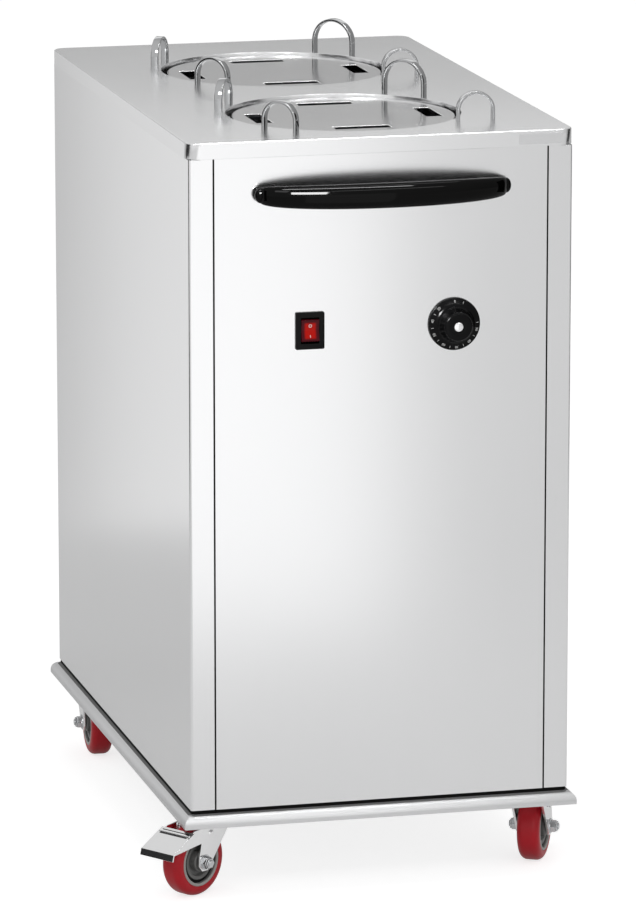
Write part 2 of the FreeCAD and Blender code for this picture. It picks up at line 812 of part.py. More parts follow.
def slide_rods(label, well_y):
    """Two upright rods with threaded tops, and the hexagon collars that stop the carrier."""
    solids = []
    length = RAIL_TOP - d.lower_frame_top
    sleeve_top = CARRIER_TOP + d.sleeve_length / 3
    stop_high = sleeve_top + d.stop_gap
    stop_low = sleeve_top - d.sleeve_length - d.lift_travel - d.stop_gap - STOP_LENGTH
    across = d.sleeve_radius.value * 2 - 3
    for side in (-1, 1):
        x = ROD_X * side
        pieces = [
            rod(x, well_y, RAIL_TOP - 1, ROD_THREAD_RADIUS, 12),
            hexagon(x, well_y, stop_high, across, STOP_LENGTH),
            hexagon(x, well_y, stop_low, across, STOP_LENGTH),
        ]
        solid = rod(x, well_y, d.lower_frame_top, d.rod_radius, length).multiFuse(pieces)
        solids.append(solid.removeSplitter())
    group(label, solids)


STOP_LENGTH = 12


def platform(label, well_y):
    """Turned-down disc with four air slots, on which the lowest plate rests."""
    body = new_body(label)
    sketch = new_sketch(body, "XY", PLATFORM_TOP - d.platform_rim)
    add_circle(sketch, 0, 0, PLATFORM_RADIUS)
    pad(body, sketch, d.platform_rim)
    sketch = new_sketch(body, "XY", PLATFORM_TOP - d.platform_rim)
    add_circle(sketch, 0, 0, PLATFORM_RADIUS - d.frame_sheet)
    pocket(body, sketch, d.platform_rim - d.frame_sheet, reverse=True)
    sketch = new_sketch(body, "XY", PLATFORM_TOP)
    for side in (-1, 1):
        y = (PLATFORM_RADIUS - 44) * side
        x = (PLATFORM_RADIUS - 30) * side
        add_rect(sketch, -35, y - 10, 35, y + 10)
        add_rect(sketch, x - 10, -35, x + 10, 35)
    pocket(body, sketch, d.frame_sheet * 2)
    place(body, y=well_y)


def carrier(label, well_y):
    """Column and cross channel under the platform, with a bored block on each slide rod."""
    body = new_body(label)
    half_y = d.carrier_width / 2
    reach = ROD_X + d.carrier_end
    sketch = new_sketch(body, "XY", CARRIER_TOP - CHANNEL_HEIGHT)
    add_rect(sketch, -reach, -half_y, reach, half_y)
    pad(body, sketch, CHANNEL_HEIGHT)
    sketch = new_sketch(body, "XY", CARRIER_TOP - CHANNEL_HEIGHT)
    add_rect(sketch, -(reach + 1), -(half_y - d.frame_sheet), reach + 1, half_y - d.frame_sheet)
    pocket(body, sketch, CHANNEL_HEIGHT - d.frame_sheet, reverse=True)
    under = PLATFORM_TOP - d.frame_sheet
    sketch = new_sketch(body, "XY", CARRIER_TOP - d.frame_sheet / 2)
    add_circle(sketch, 0, 0, d.column_radius)
    pad(body, sketch, under - CARRIER_TOP + d.frame_sheet / 2)
    sketch = new_sketch(body, "XY", under)
    flange = d.column_radius + 18
    add_rect(sketch, -flange, -flange, flange, flange)
    pad(body, sketch, 3, reverse=True)
    sleeve_top = CARRIER_TOP + d.sleeve_length / 3
    half_block = d.sleeve_radius
    for side in (-1, 1):
        middle = ROD_X * side
        sketch = new_sketch(body, "XY", sleeve_top - d.sleeve_length)
        add_rect(sketch, middle - half_block, -half_block, middle + half_block, half_block)
        pad(body, sketch, d.sleeve_length)
    sketch = new_sketch(body, "XY", sleeve_top)
    for side in (-1, 1):
        add_circle(sketch, ROD_X * side, 0, d.rod_radius + d.rod_play)
    pocket(body, sketch, d.sleeve_length)
    lug_pair(body, LOWER_PIN_Z, CARRIER_TOP - d.frame_sheet / 2, True)
    place(body, y=well_y)


CHANNEL_HEIGHT = as_size(25)


def eye_ring(centre_z, inner, wire):
    """Flat ring with eight sides in the XZ plane, the eye that hooks over a pin."""
    rings = []
    for apothem in (inner, inner + wire):
        reach = apothem / math.cos(math.radians(22.5))
        corners = []
        for i in range(9):
            angle = math.radians(22.5 + 45 * i)
            x = reach * math.cos(angle)
            z = centre_z + reach * math.sin(angle)
            corners.append(FreeCAD.Vector(x, -wire / 2, z))
        rings.append(Part.Face(Part.makePolygon(corners)))
    return rings[1].cut(rings[0]).extrude(FreeCAD.Vector(0, wire, 0))


def spring_solid(x, y):
    """One closed-wound extension spring: its coil as a tube, an arm across each end, and an eye."""
    wire = d.spring_wire.value
    eye = d.pin_radius.value + 1.6
    slack = eye - d.pin_radius.value - 0.05
    outer = d.spring_radius.value + wire / 2
    top = UPPER_PIN_Z.value - slack
    low = LOWER_PIN_Z.value + slack
    coil_top = top - eye - wire * 2
    coil_low = low + eye + wire * 2
    upright = FreeCAD.Vector(0, 0, 1)
    solid = Part.makeCylinder(outer, coil_top - coil_low, FreeCAD.Vector(0, 0, coil_low), upright)
    bore = Part.makeCylinder(outer - wire, coil_top - coil_low, FreeCAD.Vector(0, 0, coil_low), upright)
    solid = solid.cut(bore)
    hooks = [eye_ring(top, eye, wire), eye_ring(low, eye, wire)]
    span = outer * 2 - wire
    for start in (coil_top - wire, coil_low):
        hooks.append(Part.makeBox(span, wire, wire, FreeCAD.Vector(-span / 2, -wire / 2, start)))
    for start in (coil_top - wire / 2, coil_low - wire * 1.5):
        hooks.append(Part.makeBox(wire, wire, wire * 2, FreeCAD.Vector(-wire / 2, -wire / 2, start)))
    solid = solid.multiFuse(hooks).removeSplitter()
    solid.translate(vec(x, y, 0))
    return solid


def springs(label, well_y):
    """Both extension springs of one lift."""
    group(label, [spring_solid(SPRING_X * side, well_y) for side in (-1, 1)])


def heater(label, well_y):
    """Heating element bent into one hairpin, an eight-sided tube lying on its two bars."""
    y, z = well_y.value, d.heater_z.value
    radius = d.heater_tube.value
    half = HEATER_BEND
    near = y - HEATER_TAIL
    far = y + HEATER_RUN
    run_out = Part.LineSegment(FreeCAD.Vector(-half, near, z), FreeCAD.Vector(-half, far, z)).toShape()
    ends = (FreeCAD.Vector(-half, far, z), FreeCAD.Vector(half, far, z))
    bend = Part.Arc(ends[0], FreeCAD.Vector(0, far + half, z), ends[1]).toShape()
    run_back = Part.LineSegment(ends[1], FreeCAD.Vector(half, near, z)).toShape()
    corners = []
    for i in range(9):
        angle = math.radians(22.5 + 45 * i)
        reach = radius / math.cos(math.radians(22.5))
        corners.append(FreeCAD.Vector(-half + reach * math.cos(angle), near, z + reach * math.sin(angle)))
    tube = Part.Wire([run_out, bend, run_back]).makePipeShell([Part.makePolygon(corners)], True, False)
    group(label, [tube])


HEATER_BEND = 42.0
HEATER_TAIL = 112.0
HEATER_RUN = 78.0


# ---------------------------------------------------------------- casters

def caster_plates():
    """Four fixed plates, each with its race housing and kingpin."""
    solids = []
    under = PLATE_UNDER
    hole = d.bolt_neck.value + d.bolt_play.value * 2
    for _, sx, sy, _, _ in CASTERS:
        x = CASTER_X * sx
        y = CASTER_Y * sy
        plate = Part.makeBox(62, 72, d.plate_thick.value, vec(x - 31, y - 36, under))
        for bx, by in CASTER_BOLTS:
            corner = vec(x + bx - hole / 2, y + by - hole / 2, under - 1)
            plate = plate.cut(Part.makeBox(hole, hole, d.plate_thick.value + 2, corner))
        race_length = d.race_height - RACE_GAP + d.plate_thick / 2
        race = rod(x, y, CROWN_TOP + RACE_GAP, d.race_radius, race_length)
        kingpin = rod(x, y, CROWN_TOP - 10, d.kingpin_radius, 20)
        nut = hexagon(x, y, CROWN_TOP - d.leg_sheet - 7.3, 15.0, 7)
        solids.append(plate.multiFuse([race, kingpin, nut]).removeSplitter())
    group("caster_plates", solids)


WHEEL_Z = d.wheel_radius
PLATE_UNDER = DECK_UNDER - d.plate_thick
CROWN_TOP = PLATE_UNDER - d.race_height
RACE_GAP = 0.3
PEDAL_PIVOT_X = -26
PEDAL_PIVOT_Z = d.rim_bottom - 12


def caster_place(body, spot):
    _, sx, sy, turn, _ = spot
    place(body, CASTER_X * sx, CASTER_Y * sy, turn)


def caster_fork(spot):
    """Pressed fork: two tapering legs and a crown that turns on the kingpin."""
    body = new_body("caster_fork_" + spot[0])
    half_out = d.leg_gap / 2 + d.leg_sheet
    trail = -d.caster_trail
    sketch = new_sketch(body, "XZ", -half_out)
    points = [
        (14, CROWN_TOP), (14, CROWN_TOP - 8), (trail + 10, WHEEL_Z - 5), (trail + 5, WHEEL_Z - 11),
        (trail - 5, WHEEL_Z - 11), (trail - 11, WHEEL_Z - 4), (trail - 10, WHEEL_Z + 8), (-38, CROWN_TOP - 18),
        (-36, CROWN_TOP - 9), (-28, CROWN_TOP),
    ]
    add_polygon(sketch, points)
    pad(body, sketch, half_out * 2)
    sketch = new_sketch(body, "XZ", -d.leg_gap / 2)
    add_rect(sketch, -80, 0, 30, CROWN_TOP - d.leg_sheet)
    pocket(body, sketch, d.leg_gap, reverse=True)
    sketch = new_sketch(body, "XY", CROWN_TOP + 4)
    add_circle(sketch, 0, 0, d.kingpin_radius + d.turn_play)
    pocket(body, sketch, 12)
    sketch = new_sketch(body, "XZ", -half_out - 1)
    add_circle(sketch, trail, WHEEL_Z, d.axle_radius + d.turn_play)
    if spot[4]:
        add_circle(sketch, PEDAL_PIVOT_X, PEDAL_PIVOT_Z, PIVOT_RADIUS + d.turn_play)
    pocket(body, sketch, half_out * 2 + 2, reverse=True)
    caster_place(body, spot)


PIVOT_RADIUS = 2.5


def caster_wheel(spot):
    """Grey wheel centre with its hub boss, and the tread that is cast and bonded round it."""
    body = new_body("caster_wheel_" + spot[0])
    half = d.wheel_width / 2
    bore = d.axle_radius + d.turn_play
    hub = d.hub_radius
    side = d.tread_width / 2
    outer = d.wheel_radius
    shoulder = d.tread_shoulder
    trail = -d.caster_trail
    profile = [
        (bore, -half), (hub, -half), (hub, -side), (outer - shoulder, -side), (outer, shoulder - side),
        (outer, side - shoulder), (outer - shoulder, side), (hub, side), (hub, half), (bore, half),
    ]
    sketch = new_sketch(body, "XY", WHEEL_Z)
    add_polygon(sketch, [(trail + radius, along) for radius, along in profile])
    axis = sketch.addGeometry(Part.LineSegment(vec(trail, -5, 0), vec(trail, 5, 0)), True)
    pin_point(sketch, axis, 1, trail, -5)
    pin_point(sketch, axis, 2, trail, 5)
    doc.recompute()
    revolve(body, sketch, "Axis0")
    caster_place(body, spot)


def caster_axle(spot):
    """Axle bolt between the fork legs with a hexagon nut outside each."""
    body = new_body("caster_axle_" + spot[0])
    half_out = d.leg_gap / 2 + d.leg_sheet
    trail = -d.caster_trail
    sketch = new_sketch(body, "XZ", -(half_out + 11))
    add_circle(sketch, trail, WHEEL_Z, d.axle_radius)
    pad(body, sketch, half_out * 2 + 22)
    for start in (half_out, -(half_out + 7)):
        sketch = new_sketch(body, "XZ", start)
        corners = []
        for i in range(6):
            corners.append((trail + 8 * cosd(60 * i), WHEEL_Z + 8 * sind(60 * i)))
        add_polygon(sketch, corners)
        pad(body, sketch, 7)
    caster_place(body, spot)


def brake_pedal(spot):
    """Sloping pedal plate on two cheeks, hinged on pins through the fork legs."""
    body = new_body("brake_pedal_" + spot[0])
    inner = d.leg_gap / 2 + d.leg_sheet + 0.5
    outer = inner + 2
    pivot_x = PEDAL_PIVOT_X
    pivot_z = PEDAL_PIVOT_Z
    sketch = new_sketch(body, "XZ", -outer)
    cheek = [
        (pivot_x + 9, pivot_z + 4), (pivot_x + 9, pivot_z - 4), (pivot_x + 3, pivot_z - 9),
        (pivot_x - 8, pivot_z - 9), (-96, d.rim_bottom - 28), (-97, d.rim_bottom - 25.5),
        (-56, d.rim_bottom - 4), (pivot_x - 12, pivot_z + 9), (pivot_x + 3, pivot_z + 9),
    ]
    add_polygon(sketch, cheek)
    pad(body, sketch, outer * 2)
    sketch = new_sketch(body, "XZ", -inner)
    add_rect(sketch, -120, 0, 20, d.rim_bottom)
    pocket(body, sketch, inner * 2, reverse=True)
    sketch = new_sketch(body, "XZ", -d.pedal_half_width)
    tip = -d.pedal_reach
    inner_end = -d.pedal_inner_end
    top = [
        (inner_end, d.rim_bottom - 5.1), (tip + 2, d.rim_bottom - 25), (tip, d.rim_bottom - 33),
        (tip + 1.8, d.rim_bottom - 33.4), (tip + 3.6, d.rim_bottom - 26.4),
        (inner_end, d.rim_bottom - 7.3),
    ]
    add_polygon(sketch, top)
    pad(body, sketch, d.pedal_half_width * 2)
    for low, high in ((d.leg_gap / 2 + 0.3, outer + 2), (-(outer + 2), -(d.leg_gap / 2 + 0.3))):
        sketch = new_sketch(body, "XZ", low)
        add_circle(sketch, pivot_x, pivot_z, PIVOT_RADIUS)
        pad(body, sketch, high - low)
    caster_place(body, spot)


def caster_bolts():
    """Bolts down through deck and caster plate: square neck, head on the deck, nut underneath."""
    solids = []
    neck_side = d.bolt_neck.value
    for _, sx, sy, _, _ in CASTERS:
        for bx, by in CASTER_BOLTS:
            x = CASTER_X * sx + bx
            y = CASTER_Y * sy + by
            under = PLATE_UNDER
            nut = hexagon(x, y, under - 6.5, 13.0, 6.5)
            corner = vec(x - neck_side / 2, y - neck_side / 2, under - 1)
            neck = Part.makeBox(neck_side, neck_side, (PANEL_BOTTOM - under + 2).value, corner)
            head = hexagon(x, y, PANEL_BOTTOM, 16.0, 4)
            solids.append(nut.multiFuse([neck, head]).removeSplitter())
    group("caster_bolts", solids)


# ---------------------------------------------------------------- front controls

def handle_section(x, centre_y, half_z, half_y):
    """Rounded section of the handle at x, with sixteen sides, in a plane across its length."""
    points = []
    for i in range(17):
        angle = math.radians(22.5 * (i + 0.5))
        points.append(vec(x, centre_y + half_y * math.cos(angle), HANDLE_Z + half_z * math.sin(angle)))
    return Part.makePolygon(points)


def front_handle():
    """Moulded bow handle, lofted from a slim tip through a full middle, on two feet."""
    half = d.handle_length.value / 2
    face = -HALF_DEPTH.value
    bow = d.handle_bow.value
    edge = math.cos(math.radians(11.25))
    depth = d.handle_depth.value / 2 / edge
    tall = d.handle_height.value / 2 / edge
    sections = []
    last_angle = math.radians(86)
    for i in range(-5, 6):
        angle = last_angle * i / 5
        share = math.cos(angle)
        thick = 0.42 + 0.58 * share ** 0.5
        high = 0.3 + 0.7 * share ** 0.6
        centre_y = face - depth * edge * thick - bow * share ** 1.1
        x = half * math.sin(angle) / math.sin(last_angle)
        sections.append(handle_section(x, centre_y, tall * high, depth * thick))
    solid = Part.makeLoft(sections, True, True)
    foot_length = d.handle_depth / 2 + bow * 0.4
    for side in (-1, 1):
        x = HANDLE_SCREW_X * side
        foot = rod(x, face, HANDLE_Z, HANDLE_FOOT_RADIUS, foot_length, (0, -1, 0))
        bore = rod(x, face + 1, HANDLE_Z, HANDLE_SCREW_RADIUS, 16, (0, -1, 0))
        solid = solid.fuse(foot).cut(bore)
    group("front_handle", [solid])


HANDLE_FOOT_RADIUS = 9


def handle_screws():
    """Two screws from inside the front panel into the handle's feet."""
    solids = []
    for side in (-1, 1):
        x = HANDLE_SCREW_X * side
        inside = -(HALF_DEPTH - d.sheet)
        head = rod(x, inside, HANDLE_Z, 6, 4, (0, 1, 0))
        shank = rod(x, inside + 1, HANDLE_Z, HANDLE_SCREW_RADIUS - 0.05, 14, (0, -1, 0))
        solids.append(head.fuse(shank))
    group("handle_screws", solids)


def switch_housing():
    """Black switch frame with its bezel on the panel and its body behind it."""
    body = new_body("switch_housing")
    x, z = d.switch_x, CONTROL_Z
    half_w = d.bezel_width / 2
    half_h = d.bezel_height / 2
    sketch = new_sketch(body, "XZ", HALF_DEPTH)
    add_rect(sketch, x - half_w, z - half_h, x + half_w, z + half_h)
    pad(body, sketch, d.bezel_thick)

    def through_edge(edge):
        box = edge.BoundBox
        return box.YLength > 1 and box.XLength < 0.01 and box.ZLength < 0.01

    round_edges(body, 2.0, through_edge)
    sketch = new_sketch(body, "XZ", HALF_DEPTH - 26)
    body_w = half_w - BEZEL_LAP
    body_h = half_h - BEZEL_LAP
    add_rect(sketch, x - body_w, z - body_h, x + body_w, z + body_h)
    pad(body, sketch, 27)
    sketch = new_sketch(body, "XZ", HALF_DEPTH + d.bezel_thick)
    open_w = d.rocker_width / 2 + 0.4
    open_h = d.rocker_height / 2 + 0.6
    add_rect(sketch, x - open_w, z - open_h, x + open_w, z + open_h)
    pocket(body, sketch, 21)
    sketch = new_sketch(body, "YZ", x - body_w)
    add_circle(sketch, ROCKER_Y, z, 1.5 + d.turn_play)
    pocket(body, sketch, body_w * 2, reverse=True)
    place(body)


ROCKER_Y = -HALF_DEPTH + 5


def switch_rocker():
    """Lit rocker with a shallow V face, on a pin through the housing's sides."""
    body = new_body("switch_rocker")
    x, z = d.switch_x, CONTROL_Z
    half_w = d.rocker_width / 2
    half_h = d.rocker_height / 2 - 1.2
    front = -(HALF_DEPTH + d.bezel_thick + 1.5)
    sketch = new_sketch(body, "YZ", x - half_w)
    points = [
        (ROCKER_Y + 6, z - 5), (ROCKER_Y + 6, z + 5), (ROCKER_Y - 1, z + half_h - 2.2),
        (front + 2.2, z + half_h - 0.4), (front + 0.2, z + half_h - 1), (front + 1.8, z),
        (front - 1.6, z - half_h + 2), (front + 2.2, z - half_h + 0.6), (ROCKER_Y - 1, z - half_h + 2.2),
    ]
    add_polygon(sketch, points)
    pad(body, sketch, d.rocker_width)
    sketch = new_sketch(body, "YZ", x - half_w - 2)
    add_circle(sketch, ROCKER_Y, z, 1.5)
    pad(body, sketch, d.rocker_width + 4)
    place(body)


def thermostat_knob():
    """Round knob with a wide dial skirt and a raised grip, bored for the spindle."""
    body = new_body("thermostat_knob")
    x, z = d.knob_x, CONTROL_Z
    face = -(HALF_DEPTH + 1)
    bore = d.spindle_radius + d.turn_play
    sketch = new_sketch(body, "XY", z)
    profile = [
        (bore, 0), (d.knob_radius, 0), (d.knob_radius, 5), (d.grip_radius, 5),
        (d.grip_radius, d.knob_depth), (bore, d.knob_depth),
    ]
    add_polygon(sketch, [(x + radius, face - along) for radius, along in profile])
    axis = sketch.addGeometry(Part.LineSegment(vec(x, face, 0), vec(x, face - 10, 0)), True)
    pin_point(sketch, axis, 1, x, face)
    pin_point(sketch, axis, 2, x, face - 10)
    doc.recompute()
    revolve(body, sketch, "Axis0")
    place(body)


def thermostat():
    """Thermostat body behind the panel, its spindle, and the capillary tube to its bulb."""
    x, z = d.knob_x.value, CONTROL_Z.value
    inside = -(HALF_DEPTH - d.sheet).value
    can = Part.makeBox(42, 30, 42, FreeCAD.Vector(x - 21, inside, z - 21))
    spindle = rod(x, inside + 1, z, d.spindle_radius, 24, (0, -1, 0))
    turn_y = inside + 20
    bulb_top = d.lower_frame_top.value + 66
    pipe = Part.makeCylinder(1.2, z - 20 - bulb_top, FreeCAD.Vector(x, turn_y, bulb_top))
    bulb = Part.makeCylinder(4, 66, FreeCAD.Vector(x, turn_y, bulb_top - 66))
    solid = can.multiFuse([spindle, pipe, bulb]).removeSplitter()
    for side in (-1, 1):
        solid = solid.fuse(rod(x + STUD_X * side, inside + 1, z, STUD_RADIUS, 3, (0, -1, 0)))
    group("thermostat", [solid])


def badge_plate():
    """Blank plate near the right end of the front skirt."""
    body = new_body("badge_plate")
    face = HALF_DEPTH + d.cover_overhang
    sketch = new_sketch(body, "XZ", face)
    middle = d.height - d.skirt_height / 2 - 0.5
    right = HALF_WIDTH + d.cover_overhang - d.badge_inset
    half_high = d.badge_height / 2
    add_rect(sketch, right - d.badge_length, middle - half_high, right, middle + half_high)
    pad(body, sketch, 0.6)
    place(body)


def cable_inlet():
    """Gland in the rear panel where the mains lead enters."""
    face = HALF_DEPTH
    solid = rod(INLET_X, face - 10, d.inlet_z, INLET_RADIUS, 20, (0, 1, 0))
    for start, across, length in ((0.0, 24.0, 8.0), (-d.sheet.value - 5, 24.0, 5.0)):
        nut = hexagon(0, 0, 0, across, length)
        nut.rotate(FreeCAD.Vector(0, 0, 0), FreeCAD.Vector(1, 0, 0), -90)
        nut.translate(vec(INLET_X, face + start, d.inlet_z))
        solid = solid.fuse(nut)
    solid = solid.cut(rod(INLET_X, face - 20, d.inlet_z, 4, 50, (0, 1, 0)))
    group("cable_inlet", [solid.removeSplitter()])


# ---------------------------------------------------------------- build, test and write

def build_all():
    base_tray()
    side_panel("side_panel_left", -1)
    side_panel("side_panel_right", 1)
    front_panel()
    rear_panel()
    top_cover()
    corner_posts()
    upper_rails()
    for name, well_y in WELLS:
        upper_frame("upper_frame_" + name, well_y)
        lower_frame("lower_frame_" + name, well_y)
        for spot, x, y, turn, tall in guide_spots(well_y):
            plate_guide("plate_guide_%s_%s" % (name, spot), x, y, turn, tall)
        slide_rods("slide_rods_" + name, well_y)
        platform("platform_" + name, well_y)
        carrier("carrier_" + name, well_y)
        springs("springs_" + name, well_y)
        heater("heater_" + name, well_y)
    caster_plates()
    caster_bolts()
    for spot in CASTERS:
        caster_fork(spot)
        caster_wheel(spot)
        caster_axle(spot)
        if spot[4]:
            brake_pedal(spot)
    front_handle()
    handle_screws()
    switch_housing()
    switch_rocker()
    thermostat_knob()
    thermostat()
    badge_plate()
    cable_inlet()


def check_all():
    doc.recompute()
    for obj in doc.Objects:
        if "Invalid" in obj.State or "Error" in obj.State:
            raise ValueError("object %s is not valid" % obj.Label)
    for node in NODES:
        if node.Shape.isNull() or not node.Shape.isValid():
            raise ValueError("shape of %s is not valid" % node.Label)


build_all()
check_all()
os.makedirs("parts", exist_ok=True)
for node in NODES:
    node.Shape.exportStep("parts/%s.step" % node.Label)
print(len(NODES), "nodes written")
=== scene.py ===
"""The looks of the plate dispenser cart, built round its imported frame. Metres, +Z up, the
front towards -Y. The sections follow the cart as it is put together, from the room that it
stands in, through the cabinet, the lifts and the casters, to the controls on its front."""
import json
import math

import bpy
import numpy as np
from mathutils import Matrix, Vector
from mathutils.bvhtree import BVHTree


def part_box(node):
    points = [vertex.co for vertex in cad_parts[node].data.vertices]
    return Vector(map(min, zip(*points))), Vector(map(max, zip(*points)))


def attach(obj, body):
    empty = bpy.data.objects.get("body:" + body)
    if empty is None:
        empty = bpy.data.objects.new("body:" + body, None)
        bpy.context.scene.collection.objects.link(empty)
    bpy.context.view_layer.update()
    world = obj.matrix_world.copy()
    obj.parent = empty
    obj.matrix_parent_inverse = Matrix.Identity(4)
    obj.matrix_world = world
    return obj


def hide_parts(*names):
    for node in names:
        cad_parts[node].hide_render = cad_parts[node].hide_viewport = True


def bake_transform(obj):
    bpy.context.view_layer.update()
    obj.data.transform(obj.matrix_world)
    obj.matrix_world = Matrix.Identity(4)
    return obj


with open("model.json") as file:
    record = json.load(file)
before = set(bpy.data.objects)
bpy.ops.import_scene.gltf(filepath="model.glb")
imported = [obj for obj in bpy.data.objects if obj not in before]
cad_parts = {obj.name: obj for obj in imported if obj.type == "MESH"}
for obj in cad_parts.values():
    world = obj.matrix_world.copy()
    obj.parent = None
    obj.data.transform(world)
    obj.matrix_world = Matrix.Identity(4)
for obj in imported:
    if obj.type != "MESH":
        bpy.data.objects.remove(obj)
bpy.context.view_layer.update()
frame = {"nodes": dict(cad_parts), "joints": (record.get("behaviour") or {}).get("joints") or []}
nodes = frame["nodes"]
joints = {joint["name"]: joint for joint in frame["joints"]}
MM = 0.001


# ------------------------------------------------------------------ the room and the camera
# A plain white studio: a pale floor that keeps the cart's shadow, a soft key lamp at the front
# left, narrow lamps above, dim cards that flat steel mirrors, black boards that its rounded
# corners mirror, and a long lens at the front left, a little above.
CAMERA_PLACE = (-1.86692, -7.56113, 2.16184)
CAMERA_TURN = (math.radians(90 - 12.27), 0.0, math.radians(-14.066))
CAMERA_LENS = 245.72
SENSOR = 36.0
WHITE = (1, 1, 1, 1)
SKY_LIGHT = 0.55
SKY_IN_METAL = (0.38, 0.85)  # away from the key lamp, and towards it
SKY_TURN = (-0.8, 0.9)
KEY_SIDE = (-0.62, -0.52, 0.59)
FLOOR_HALF = 9.0
FLOOR_SHADE = (0.5, 0.5, 0.5, 1)
FLOOR_GLOW = 0.74
FLOOR_IN_METAL = (0.335, 0.22)  # in front of the cart, and behind it
FLOOR_BACK_Y = (-0.6, 0.9)
FLOOR_FAR = 0.11
FLOOR_FAR_Y = (-1.6, -4.6)
BOARD_BLACK = (0.01, 0.01, 0.01, 1)
# name, place, what it faces, width, height, and how bright its face is
LAMPS = (
    ("lamp_key", (-1.9, -2.4, 2.6), (0.0, -0.2, 0.6), 1.1, 0.9, 5.3),
    ("lamp_over", (0.2, -0.7, 3.0), (0.0, -0.1, 0.9), 2.0, 0.12, 13.0),
    ("lamp_front_over", (0.7, -3.0, 2.5), (0.0, -0.3, 0.8), 1.9, 0.12, 11.0),
    ("card_front_low", (-0.04, -1.75, 0.36), (-0.1, -0.3, 0.45), 0.85, 1.3, 0.48),
    ("card_left_rear", (-0.85, 1.55, 0.6), (-0.24, -0.1, 0.6), 0.6, 1.5, 0.4),
    ("card_rear_over", (0.25, 1.5, 1.75), (0.0, -0.2, 0.95), 1.5, 0.8, 0.7),
)
# name, place, width and height
FLAGS = (
    ("flag_left", (-2.1, 0.1, 0.7), 1.5, 1.9),
    ("flag_right", (2.2, -0.4, 0.8), 1.2, 2.0),
)


def shader_tree(owner):
    """The owner's node tree, emptied."""
    owner.use_nodes = True
    owner.node_tree.nodes.clear()
    return owner.node_tree


def feed(tree, socket, source):
    """Link another node to an input, by its first output unless one is given, or set a value."""
    if isinstance(source, bpy.types.Node):
        source = source.outputs[0]
    if isinstance(source, bpy.types.NodeSocket):
        tree.links.new(source, socket)
    else:
        socket.default_value = source


def add_node(tree, kind, *sources, **values):
    """A shader node. Each value goes to the property of its name, or else to the input of that
    name, and the sources fill its first inputs."""
    node = tree.nodes.new("ShaderNode" + kind)
    for name, value in values.items():
        if hasattr(node, name):
            setattr(node, name, value)
        else:
            feed(tree, node.inputs[name.replace("_", " ")], value)
    for socket, source in zip(node.inputs, sources):
        feed(tree, socket, source)
    return node


def map_range(tree, source, *spans, kind="SMOOTHSTEP"):
    """A value moved from one span to another: from low, from high, to low, to high."""
    return add_node(tree, "MapRange", source, *spans, interpolation_type=kind)


def add_world():
    """White to the eye. Metal sees it paler towards the key lamp than away from it."""
    world = bpy.data.worlds.new("studio")
    bpy.context.scene.world = world
    tree = shader_tree(world)
    path = add_node(tree, "LightPath").outputs
    place = add_node(tree, "TexCoord").outputs["Generated"]
    toward = add_node(tree, "VectorMath", place, KEY_SIDE, operation="DOT_PRODUCT")
    level = map_range(tree, toward.outputs["Value"], *SKY_TURN, *SKY_IN_METAL)
    light = add_node(tree, "Background", WHITE, SKY_LIGHT)
    in_metal = add_node(tree, "Background", WHITE, level)
    white = add_node(tree, "Background", WHITE, 1.0)
    lit = add_node(tree, "MixShader", path["Is Glossy Ray"], light, in_metal)
    eye = add_node(
        tree, "Math", path["Is Camera Ray"], path["Is Transmission Ray"], operation="MAXIMUM")
    add_node(tree, "OutputWorld", add_node(tree, "MixShader", eye, lit, white))


def add_board(name, corners, material):
    """A flat four sided piece of the set."""
    mesh = bpy.data.meshes.new(name)
    mesh.from_pydata(corners, [], [(0, 1, 2, 3)])
    mesh.materials.append(material)
    board = bpy.data.objects.new(name, mesh)
    bpy.context.scene.collection.objects.link(board)
    return board


def add_floor():
    """Matt paint that takes the shadow. It glows to the eye, and in metal less behind the cart."""
    material = bpy.data.materials.new("studio_floor")
    tree = shader_tree(material)
    path = add_node(tree, "LightPath").outputs
    place = add_node(tree, "TexCoord").outputs["Object"]
    y = add_node(tree, "SeparateXYZ", place).outputs["Y"]
    back = map_range(tree, y, *FLOOR_BACK_Y, *FLOOR_IN_METAL)
    far = map_range(tree, y, *FLOOR_FAR_Y, 0.0, FLOOR_FAR)
    seen = add_node(tree, "Math", back, far, operation="ADD")
    eye = add_node(tree, "Math", path["Is Camera Ray"], FLOOR_GLOW, operation="MULTIPLY")
    level = add_node(tree, "Math", path["Is Glossy Ray"], seen, eye, operation="MULTIPLY_ADD")
    paint = add_node(tree, "BsdfDiffuse", FLOOR_SHADE)
    glow = add_node(tree, "Emission", WHITE, level)
    add_node(tree, "OutputMaterial", add_node(tree, "AddShader", paint, glow))
    corners = ((-1, -1, 0), (1, -1, 0), (1, 1, 0), (-1, 1, 0))
    add_board("floor", [Vector(corner) * FLOOR_HALF for corner in corners], material)


def add_lamp(name, place, target, width, height, level):
    """A soft rectangular lamp that faces a point. Its level is how bright its face is."""
    light = bpy.data.lights.new(name, "AREA")
    light.shape = "RECTANGLE"
    light.size = width
    light.size_y = height
    light.energy = level * math.pi * width * height
    lamp = bpy.data.objects.new(name, light)
    lamp.location = place
    lamp.rotation_euler = (Vector(target) - Vector(place)).to_track_quat("-Z", "Y").to_euler()
    lamp.visible_camera = False
    bpy.context.scene.collection.objects.link(lamp)


def add_flag(name, place, width, height):
    """A black board beside the set, which only shiny surfaces see."""
    material = bpy.data.materials.new(name)
    tree = shader_tree(material)
    add_node(tree, "OutputMaterial", add_node(tree, "BsdfDiffuse", BOARD_BLACK))
    x, y, z = place
    w, h = width / 2, height / 2
    corners = [(x, y - w, z - h), (x, y + w, z - h), (x, y + w, z + h), (x, y - w, z + h)]
    flag = add_board(name, corners, material)
    flag.visible_camera = False
    flag.visible_diffuse = False
    flag.visible_shadow = False


